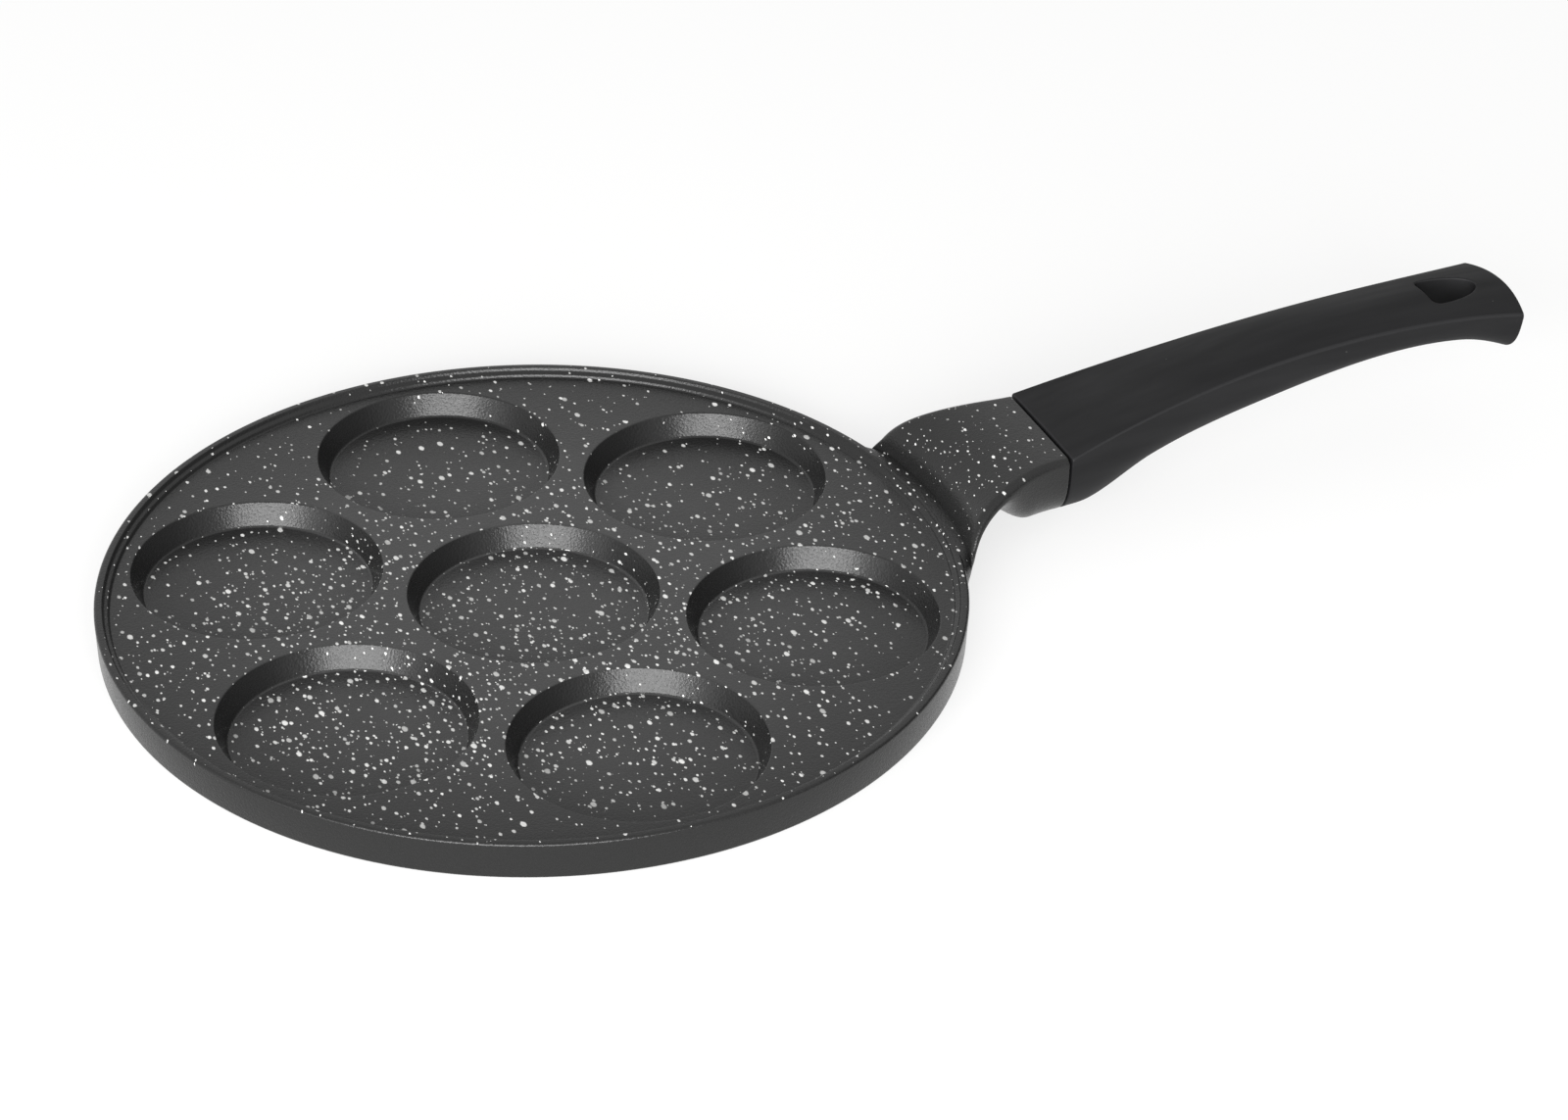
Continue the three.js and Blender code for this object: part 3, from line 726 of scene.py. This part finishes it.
def washer_profile(inner, outer, bottom, top):
    """A rectangle with broken corners, closed on itself."""
    corners = [[inner, bottom + BURR], [inner + BURR, bottom], [outer - BURR, bottom],
               [outer, bottom + BURR], [outer, top - BURR], [outer - BURR, top],
               [inner + BURR, top], [inner, top - BURR]]
    return np.array(corners + corners[:1])


def slot_tool(quarter_turns):
    """A flat bar across the screw's head: the outline of a rectangle carried upwards."""
    x, y = np.array([1, -1, -1, 1]) * SLOT_LENGTH / 2, np.array([1, 1, -1, -1]) * SLOT_WIDTH / 2
    plan = np.column_stack([x, y] if quarter_turns == 0 else [-y, x]) + [SCREW_X, 0]
    z = np.array([head_bottom - SLOT_DEPTH, head_bottom + SLOT_DEPTH])[:, None]
    rings = np.stack(np.broadcast_arrays(*plan.T, z), axis=-1)
    return shell("slot", [with_poles(rings)])


screw_tip = TANG_TOP - TIP_SETBACK
screw_profile = np.concatenate([
    [[0, head_bottom]],
    arc(HEAD_RADIUS - HEAD_ROUND, head_bottom + HEAD_ROUND, HEAD_ROUND, -90, 0, 9),
    [[HEAD_RADIUS, head_seat], [SCREW_RADIUS, head_seat], [SCREW_RADIUS, screw_tip - TIP_CHAMFER]],
    [[SCREW_RADIUS - TIP_CHAMFER, screw_tip], [0, screw_tip]],
])
screw = shell("grip_screw", [turned(screw_profile, around(64), (SCREW_X, 0))])
for quarter_turns in range(2):
    combine(screw, slot_tool(quarter_turns), "DIFFERENCE")
washer_ring = washer_profile(bore, WASHER_RADIUS, spring_seat, SEAT)
washer = shell("plain_washer", [turned(washer_ring, around(64), (SCREW_X, 0))])
half_gap = SPRING_SPLIT / (SPRING_RADIUS + bore)
spring_angles = np.linspace(half_gap, 2 * np.pi - half_gap, 64)
spring_ring = washer_profile(bore, SPRING_RADIUS, head_seat, spring_seat)[:-1]
spring_rings = turned(spring_ring, spring_angles, (SCREW_X, 0))
spring = shell("split_washer", [with_poles(spring_rings.transpose(1, 0, 2))])
print("points of the screw and washers:", [len(p.data.vertices) for p in (screw, washer, spring)])

# %% [markdown]
# ## Materials
# Colours are written as sRGB hex values, as a colour picker shows them, and one function turns
# them to the linear numbers that the shaders use. A second small function adds a node, sets its
# values and makes its links, so that each material below reads as a list of its nodes.


# %% Colours and nodes
def linear(code):
    """sRGB hex to linear: c/12.92 for small values, ((c + 0.055)/1.055)^2.4 for the others."""
    c = np.array([int(code[i:i + 2], 16) for i in (1, 3, 5)]) / 255
    c = np.where(c <= 0.04045, c / 12.92, ((c + 0.055) / 1.055) ** 2.4)
    return (*c.tolist(), 1.0)


def add(tree, kind, inputs=None, **settings):
    """Adds a node and sets its inputs; one that is given a node or a socket is linked to it.

    Of a node given as a whole, the first output in use is taken.
    """
    made = tree.nodes.new("ShaderNode" + kind)
    for name, value in settings.items():
        setattr(made, name, value)
    for name, value in (inputs or {}).items():
        if isinstance(value, bpy.types.Node):
            value = next(socket for socket in value.outputs if socket.enabled)
        if isinstance(value, bpy.types.NodeSocket):
            tree.links.new(value, made.inputs[name])
        else:
            made.inputs[name].default_value = value
    return made


def new_material(name):
    """An empty material, its node tree and its object coordinates in metres."""
    material = bpy.data.materials.new(name)
    material.use_nodes = True
    tree = material.node_tree
    tree.nodes.clear()
    return material, tree, add(tree, "TexCoord").outputs["Object"]


# %% [markdown]
# ## Where the spray lies
# The specks are spattered from above and a little from the left, so they sit on what faces there:
# plate and wells, the top of the lip and of the neck, and the walls of the wells on the right. They
# lie thickest in two bursts, a wide one left of the middle and a small one at the foot of the neck,
# and thin out around them and towards the lip. On walls and on the neck they are smaller than on
# the plate. A haze of drops too fine to see lightens the middle of the plate. A picture could hold
# these shares, but a value at every point, worked out from its place and normal and kept on the
# mesh as an attribute, is sharper and needs no unwrapping.
#
# A pattern that is simply looked down on would smear down the walls. So each point also keeps the
# place that it has when the walls are rolled out flat: a wall is longer than its plan by a share of
# its height, and that share is added outwards from the pan's middle, or from the well's own middle.

# %% Shares of specks and haze at each point
# middle of each burst in mm, its reach in mm and how dense it is
BURSTS = [(-50, -45, 125, 0.72), (125, 12, 45, 0.6)]
LEAST_SPECKS = 0.25
LIP_THINNING = 0.38
WALL_DROPS = 0.6
NECK_DROPS = 0.8
SPRAY_FROM = np.array([-0.35, 0, 0.94])
WALL_EXTRA = (np.hypot(WELL_WALL_RUN, WELL_DEPTH) - WELL_WALL_RUN) / WELL_DEPTH


def points_of(mesh):
    """Places in millimetres and normals of all points, as rows."""
    normal, place = (np.zeros(len(mesh.vertices) * 3, np.float32) for _ in range(2))
    mesh.vertex_normals.foreach_get("vector", normal)
    mesh.vertices.foreach_get("co", place)
    return place.reshape(-1, 3) / MM, normal.reshape(-1, 3)


def keep_share(mesh, name, share):
    """Writes one value for each point of the mesh."""
    made = mesh.attributes.new(name, "FLOAT", "POINT")
    made.data.foreach_set("value", share.astype(np.float32))
    print(name, "mean", round(float(share.mean()), 3))


def rolled_out(place, up):
    """Plan of the points, with 0.63 of the height above the plate, or down a well, added outwards."""
    plan, height = place[:, :2], place[:, 2] - PLATE
    wells = np.concatenate([np.zeros((1, 2)), centres])
    away = plan[:, None] - wells
    own = np.linalg.norm(away, axis=2).argmin(axis=1)
    away = away[np.arange(len(plan)), own]
    reach = np.linalg.norm(away, axis=1)
    on_wall = (reach < WELL_REACH) & (up < 0.8)
    radius = np.linalg.norm(plan, axis=1)
    climb = WALL_EXTRA * np.maximum(height, 0) / np.maximum(radius, 1)
    drop = WALL_EXTRA * height * on_wall / np.maximum(reach, 1)
    return plan * (1 + climb[:, None]) + away * drop[:, None]


def keep_rolled_out(mesh):
    """Writes the rolled out place of each point in metres."""
    place, normal = points_of(mesh)
    flat = np.zeros(place.shape, np.float32)
    flat[:, :2] = rolled_out(place, normal[:, 2]) * MM
    made = mesh.attributes.new("spray_place", "FLOAT_VECTOR", "POINT")
    made.data.foreach_set("vector", flat.ravel())


def spray_shares(mesh):
    """Specks: bell curves about the bursts, less where turned away. Haze: one inside, zero outside.

    Drops have their full size on the plate, and a share of it on walls and on the neck.
    """
    place, normal = points_of(mesh)
    x, y, _ = place.T
    up, facing = normal[:, 2], normal @ SPRAY_FROM
    radius = np.hypot(x, y)
    bells = [dense * np.exp(-((x - bx) ** 2 + (y - by) ** 2) / reach**2)
             for bx, by, reach, dense in BURSTS]
    thinner = 1 - LIP_THINNING * smoothstep(radius, 88, 112)
    speck_share = (LEAST_SPECKS + sum(bells)) * smoothstep(facing, 0.3, 0.9) * thinner
    keep_share(mesh, "speck_share", speck_share)
    level_size = mix(WALL_DROPS, 1, smoothstep(up, 0.5, 0.95))
    keep_share(mesh, "drop_size", level_size * mix(1, NECK_DROPS, smoothstep(radius, 126, 134)))
    keep_share(mesh, "haze_share", (1 - smoothstep(radius, 55, 128)) * smoothstep(up, 0.5, 0.9))


spray_shares(casting.data)
keep_rolled_out(casting.data)

# %% [markdown]
# ## Non-stick coating with stone specks
# The casting is sprayed with a dark non-stick coating, a fluoropolymer with fine mineral filler,
# and pale drops are spattered over it before it is baked. To the eye it is a dark grey satin with
# a fine grain, so a wall that faces the light glitters softly, and pale specks from dust to about
# two millimetres. Each size of speck is one Voronoi pattern on the rolled out surface: the cell's
# own random colour decides whether there is a drop and how large it is, and the distance from the
# cell's point gives its shape. Most drops are a little longer than wide, so the pattern is
# stretched across the handle's direction.

# %% The coating
SPECK_SIZES = [
    # spacing of the cells, smallest and largest radius in mm, share of cells with a drop
    (6.2, 0.56, 0.92, 0.72),
    (3.8, 0.38, 0.60, 0.80),
    (2.7, 0.22, 0.40, 0.75),
    (1.9, 0.10, 0.22, 0.30),
]
SPECK_STRETCH = 1.6
# shares of a drop's radius between which its edge fades, and how much the thinnest and thickest hide
SPECK_EDGE = (0.72, 1.12)
SPECK_COVER = (0.42, 0.92)


def speck_layer(tree, place, share, shrink, spacing, smallest, largest, present):
    """One size of drop: a disc around the point of each Voronoi cell that has one."""
    cells = add(tree, "TexVoronoi", {"Vector": place, "Scale": 1 / (spacing * MM)},
                voronoi_dimensions="2D", feature="F1")
    draws = add(tree, "SeparateColor", {0: cells.outputs["Color"]})
    skew = add(tree, "Math", {0: draws, 1: draws}, operation="MULTIPLY")
    level = add(tree, "MapRange", {0: skew, 3: smallest / spacing, 4: largest / spacing})
    radius = add(tree, "Math", {0: level, 1: shrink}, operation="MULTIPLY")
    inner = add(tree, "Math", {0: radius, 1: SPECK_EDGE[0]}, operation="MULTIPLY")
    outer = add(tree, "Math", {0: radius, 1: SPECK_EDGE[1]}, operation="MULTIPLY")
    disc_shape = add(tree, "MapRange", {0: cells, 1: inner, 2: outer, 3: 1.0, 4: 0.0},
                     interpolation_type="SMOOTHSTEP")
    limit = add(tree, "Math", {0: share, 1: present}, operation="MULTIPLY")
    there = add(tree, "Math", {0: draws.outputs[1], 1: limit}, operation="LESS_THAN")
    cover = add(tree, "MapRange", {0: draws.outputs[2], 3: SPECK_COVER[0], 4: SPECK_COVER[1]})
    drop = add(tree, "Math", {0: disc_shape, 1: cover}, operation="MULTIPLY")
    return add(tree, "Math", {0: drop, 1: there}, operation="MULTIPLY")


def coating_material():
    """Dark satin coat with grain, and specks of four sizes laid over it."""
    material, tree, place = new_material("non_stick_coating_with_stone_specks")
    share = add(tree, "Attribute", attribute_name="speck_share").outputs["Fac"]
    drift = add(tree, "TexNoise", {"Vector": place, "Scale": 1 / (45 * MM), "Detail": 2.0})
    crowd = add(tree, "MapRange", {0: drift, 1: 0.3, 2: 0.7, 3: 0.7, 4: 1.25})
    share = add(tree, "Math", {0: share, 1: crowd}, operation="MULTIPLY")
    wobble = add(tree, "TexNoise", {"Vector": place, "Scale": 1 / (1.1 * MM), "Detail": 1.0})
    shift = add(tree, "VectorMath", {0: wobble.outputs["Color"], 1: (0.5, 0.5, 0.5)},
                operation="SUBTRACT")
    shift = add(tree, "VectorMath", {0: shift, "Scale": 0.45 * MM}, operation="SCALE")
    spot = add(tree, "Attribute", attribute_name="spray_place").outputs["Vector"]
    bent = add(tree, "VectorMath", {0: spot, 1: shift}, operation="ADD")
    shrink = add(tree, "Attribute", attribute_name="drop_size").outputs["Fac"]
    for k, size in enumerate(SPECK_SIZES):
        laid = {"Location": (0.37 * k, 0.21 * k, 0), "Scale": (1.0, 1 / SPECK_STRETCH, 1.0)}
        moved = add(tree, "Mapping", {"Vector": bent, **laid})
        layer = speck_layer(tree, moved, share, shrink, *size)
        speck = layer if k == 0 else add(tree, "Math", {0: speck, 1: layer}, operation="MAXIMUM")
    mottle = add(tree, "TexNoise", {"Vector": place, "Scale": 1 / (14 * MM), "Detail": 4.0})
    haze = add(tree, "Attribute", attribute_name="haze_share").outputs["Fac"]
    cloud = add(tree, "MapRange", {0: mottle, 1: 0.3, 2: 0.7, 3: 0.85, 4: 1.15})
    veil = add(tree, "Math", {0: haze, 1: cloud}, operation="MULTIPLY")
    coat = add(tree, "Mix", {0: veil, 6: linear("#191919"), 7: linear("#2f2f2f")}, data_type="RGBA")
    colour = add(tree, "Mix", {0: speck, 6: coat, 7: linear("#e4e4e2")}, data_type="RGBA")
    # the real grain is about a tenth of a millimetre, and is drawn coarser so that it shows
    grain = add(tree, "TexNoise", {"Vector": place, "Scale": 1 / (0.7 * MM), "Detail": 2.0})
    sheen = add(tree, "MapRange", {0: grain, 1: 0.3, 2: 0.7, 3: 0.2, 4: 0.34})
    rough = add(tree, "Mix", {0: speck, 2: sheen, 3: 0.55})
    relief = add(tree, "Math", {0: grain, 1: speck}, operation="ADD")
    bump = add(tree, "Bump", {"Height": relief, "Strength": 0.6, "Distance": 0.2 * MM})
    surface = add(tree, "BsdfPrincipled",
                  {"Base Color": colour, "Roughness": rough, "IOR": 1.36, "Normal": bump})
    add(tree, "OutputMaterial", {"Surface": surface})
    return material


finish_piece(casting, "pan_casting", coating_material())

# %% [markdown]
# ## Soft-touch grip
# The grip is a phenolic moulding with a rubbery soft-touch lacquer. The lacquer scatters light so
# widely that the grip looks almost evenly dark, with only a weak veil where it turns away. Handling
# leaves faint smears along its length and a few specks of dust. A paler line along the edges of the
# top is a painted highlight, where the rounded edge catches the light. The edge is found from the
# normals, as the narrow band that faces neither up nor sideways, and kept as an attribute of the
# points.


# %% The grip's lacquer
def grip_material():
    """Very matt dark lacquer with a fine grain, smears along the handle and a little dust."""
    material, tree, place = new_material("soft_touch_lacquer_on_phenolic")
    along = add(tree, "Mapping", {"Vector": place, "Scale": (0.12, 1.0, 1.0)})
    smear = add(tree, "TexNoise", {"Vector": along, "Scale": 1 / (7 * MM), "Detail": 3.0})
    tone = add(tree, "MapRange", {0: smear, 1: 0.35, 2: 0.7})
    coat = add(tree, "Mix", {0: tone, 6: linear("#131314"), 7: linear("#181819")}, data_type="RGBA")
    # the paler colour on the band along the edges of the top is a painted highlight
    highlight_share = add(tree, "Attribute", attribute_name="painted_edge_highlight").outputs["Fac"]
    highlighted_coat = add(tree, "Mix", {0: highlight_share, 6: coat, 7: linear("#1e1e1f")}, data_type="RGBA")
    dust = add(tree, "TexVoronoi", {"Vector": place, "Scale": 1 / (9 * MM)}, feature="F1")
    draw = add(tree, "SeparateColor", {0: dust.outputs["Color"]})
    size = add(tree, "Math", {0: draw, 1: 0.03}, operation="MULTIPLY")
    mote = add(tree, "Math", {0: dust, 1: size}, operation="LESS_THAN")
    dusty = add(tree, "Math", {0: mote, 1: 0.35}, operation="MULTIPLY")
    colour = add(tree, "Mix", {0: dusty, 6: highlighted_coat, 7: linear("#8a8a88")}, data_type="RGBA")
    rough = add(tree, "MapRange", {0: smear, 1: 0.3, 2: 0.7, 3: 0.62, 4: 0.52})
    grain = add(tree, "TexNoise", {"Vector": place, "Scale": 1 / (0.35 * MM), "Detail": 2.0})
    bump = add(tree, "Bump", {"Height": grain, "Strength": 0.35, "Distance": 0.015 * MM})
    surface = add(tree, "BsdfPrincipled", {
        "Base Color": colour, "Roughness": rough, "IOR": 1.4, "Specular IOR Level": 0.22, "Normal": bump})
    add(tree, "OutputMaterial", {"Surface": surface})
    return material


grip_up = points_of(grip.data)[1][:, 2]
# the narrow band along the edges of the top, which carries a painted highlight
highlight_band = smoothstep(grip_up, 0.2, 0.5) * (1 - smoothstep(grip_up, 0.8, 0.94))
keep_share(grip.data, "painted_edge_highlight", highlight_band)
finish_piece(grip, "handle_grip", grip_material())

# %% [markdown]
# ## Bare metal
# The disc is stainless steel, turned on a lathe: fine rings about its middle stretch the highlights
# into a bow tie. A noise that runs along the distance from the middle gives the rings, drawn coarser
# than real ones so that they show. The screw and the flat washer are zinc plated, bright with a
# slight haze, and the spring washer is plain spring steel.


# %% Steel and zinc
def steel_material():
    """Turned stainless steel: fine rings in height and roughness about the pan's middle."""
    material, tree, place = new_material("turned_stainless_steel")
    flat = add(tree, "VectorMath", {0: place, 1: (1.0, 1.0, 0.0)}, operation="MULTIPLY")
    radius = add(tree, "VectorMath", {0: flat}, operation="LENGTH")
    ring = add(tree, "TexNoise", {"W": radius, "Scale": 1 / (0.5 * MM), "Detail": 3.0},
               noise_dimensions="1D")
    rough = add(tree, "MapRange", {0: ring, 1: 0.3, 2: 0.7, 3: 0.26, 4: 0.42})
    bump = add(tree, "Bump", {"Height": ring, "Strength": 0.4, "Distance": 0.02 * MM})
    colour = add(tree, "Mix", {0: ring, 6: linear("#a9aaac"), 7: linear("#c3c4c6")}, data_type="RGBA")
    surface = add(tree, "BsdfPrincipled",
                  {"Base Color": colour, "Metallic": 1.0, "Roughness": rough, "Normal": bump})
    add(tree, "OutputMaterial", {"Surface": surface})
    return material


def plated_material(name, light, dark, low, high):
    """Plated or plain steel with a cloudy haze of a few tenths of a millimetre."""
    material, tree, place = new_material(name)
    haze = add(tree, "TexNoise", {"Vector": place, "Scale": 1 / (0.8 * MM), "Detail": 4.0})
    colour = add(tree, "Mix", {0: haze, 6: linear(light), 7: linear(dark)}, data_type="RGBA")
    rough = add(tree, "MapRange", {0: haze, 1: 0.3, 2: 0.7, 3: low, 4: high})
    surface = add(tree, "BsdfPrincipled", {"Base Color": colour, "Metallic": 1.0, "Roughness": rough})
    add(tree, "OutputMaterial", {"Surface": surface})
    return material


zinc = plated_material("zinc_plated_steel", "#d0d2d4", "#b6babd", 0.22, 0.36)
spring_steel = plated_material("spring_steel", "#9fa1a3", "#8a8c8e", 0.3, 0.45)
finish_piece(disc, "induction_disc", steel_material())
finish_piece(screw, "handle_screw", zinc)
finish_piece(washer, "flat_washer", zinc)
finish_piece(spring, "spring_washer", spring_steel)

# %% [markdown]
# ## Studio
# The pan stands on a white floor in a white studio. A satin surface shows what it mirrors: the
# plate mirrors the white wall behind it, and the steep foot of the neck mirrors the dark plate. On
# the right hangs a dark cloth. The walls of the wells and of the lip that face it mirror it and turn
# dark, and so their shape shows. A wide low lamp in front lights the walls that face the viewer,
# and a weak one on the left carries that light on around them.
# The camera sees a steady white in the world and, in part, on the floor, and so do mirrors apart
# from the cloth, so the background stays white while the light on the pan stays at a plain level
# and its shadow pale.


# %% Floor and sky
FLOOR_SIZE = 12.0
SKY_LIGHT = 0.6
CLOTH_SIDE = (1.0, 0.0, -0.3)
CLOTH_EDGE = (0.35, 0.7)
CLOTH_LIGHT = 0.2
SHADOW_SHARE = 0.3


def seen_directly(tree):
    """One for rays from the camera, from mirrors and through glass, and zero for the others."""
    path = add(tree, "LightPath")
    either = add(tree, "Math", {0: path.outputs["Is Camera Ray"], 1: path.outputs["Is Glossy Ray"]},
                 operation="MAXIMUM")
    return add(tree, "Math", {0: either, 1: path.outputs["Is Transmission Ray"]},
               operation="MAXIMUM")


def floor_material():
    """White paper, with a share of steady white for what sees it directly."""
    material, tree, _ = new_material("white_paper_floor")
    paper = add(tree, "BsdfDiffuse", {"Color": linear("#f4f4f3")})
    steady = add(tree, "Emission", {"Color": (1.0, 1.0, 1.0, 1.0), "Strength": 1.0})
    share = add(tree, "Math", {0: seen_directly(tree), 1: 1 - SHADOW_SHARE}, operation="MULTIPLY")
    surface = add(tree, "MixShader", {0: share, 1: paper, 2: steady})
    add(tree, "OutputMaterial", {"Surface": surface})
    return material


# the floor starts just inside the edge of the base, so that a look from below shows the base itself
floor_opening = base_radius - RIM_ROUNDS[-1] - 0.1
floor_profile = np.array([[floor_opening, 0], [FLOOR_SIZE / 2 / MM, 0]])
floor = shell("studio_floor", [turned(floor_profile, around(96))])
floor.data.materials.append(floor_material())
floor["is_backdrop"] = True

world = bpy.data.worlds.new("white_studio")
bpy.context.scene.world = world
world.use_nodes = True
studio = world.node_tree
studio.nodes.clear()
direction = add(studio, "TexCoord").outputs["Generated"]
side = add(studio, "VectorMath", {0: direction, 1: CLOTH_SIDE}, operation="DOT_PRODUCT")
cloth = add(studio, "MapRange",
            {0: side, 1: CLOTH_EDGE[0], 2: CLOTH_EDGE[1], 3: 1.0, 4: CLOTH_LIGHT},
            interpolation_type="SMOOTHSTEP")
mirrored = add(studio, "MapRange", {0: seen_directly(studio), 3: SKY_LIGHT, 4: cloth})
to_camera = add(studio, "LightPath").outputs["Is Camera Ray"]
strength = add(studio, "MapRange", {0: to_camera, 3: mirrored, 4: 1.0})
backdrop = add(studio, "Background", {"Color": (1.0, 1.0, 1.0, 1.0), "Strength": strength})
add(studio, "OutputWorld", {"Surface": backdrop})
print("floor", FLOOR_SIZE, "m, light of the sky", SKY_LIGHT)


# %% Lamps
def soft_lamp(name, place, width, height, power):
    """A rectangular lamp at a place in metres, its face turned to the middle of the base."""
    data = bpy.data.lights.new(name, "AREA")
    data.shape = "RECTANGLE"
    data.size = width
    data.size_y = height
    data.energy = power
    lamp = bpy.data.objects.new(name, data)
    bpy.context.scene.collection.objects.link(lamp)
    back = np.array(place) / np.linalg.norm(place)
    side = np.cross([0, 0, 1], back)
    side /= np.linalg.norm(side)
    turn = np.eye(4)
    turn[:3] = np.column_stack([side, np.cross(back, side), back, place])
    lamp.matrix_world = Matrix(turn.tolist())


soft_lamp("front_lamp", (-0.93, -1.65, 0.66), 2.2, 1.0, 95)
soft_lamp("left_lamp", (-2.2, -0.75, 0.7), 1.6, 1.0, 10)
print("lamps:", [lamp.name for lamp in bpy.data.lights])

# %% [markdown]
# ## Camera
# The camera stands in front and a little to the left, about 33 degrees above the floor, with a
# long lens. Its place and turn are those from which the rim, the wells and the handle fall where
# they do in the photograph.

# %% Camera
camera_data = bpy.data.cameras.new("camera")
camera_data.sensor_width = 36
camera_data.lens = 99.886
camera = bpy.data.objects.new("camera", camera_data)
bpy.context.scene.collection.objects.link(camera)
camera.matrix_world = Matrix((
    (0.91709761, 0.1997502, -0.3450099, -0.37770),
    (-0.39807871, 0.5056659, -0.76539881, -1.01896),
    (0.02157117, 0.83928652, 0.54326129, 0.72430),
    (0, 0, 0, 1),
))
bpy.context.scene.camera = camera
bpy.context.scene.view_settings.view_transform = "Standard"
print("camera at", [round(v, 2) for v in camera.matrix_world.translation], "m")

# %% [markdown]
# ## Sizes
# The box of the solids and the box of the dressed pan are printed side by side.

# %% Write both boxes and finish
boxes = {"cad": cad_box, "visual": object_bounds()}
boxes = {name: [[float(v) for v in point] for point in box] for name, box in boxes.items()}
print("boxes in metres:", boxes)
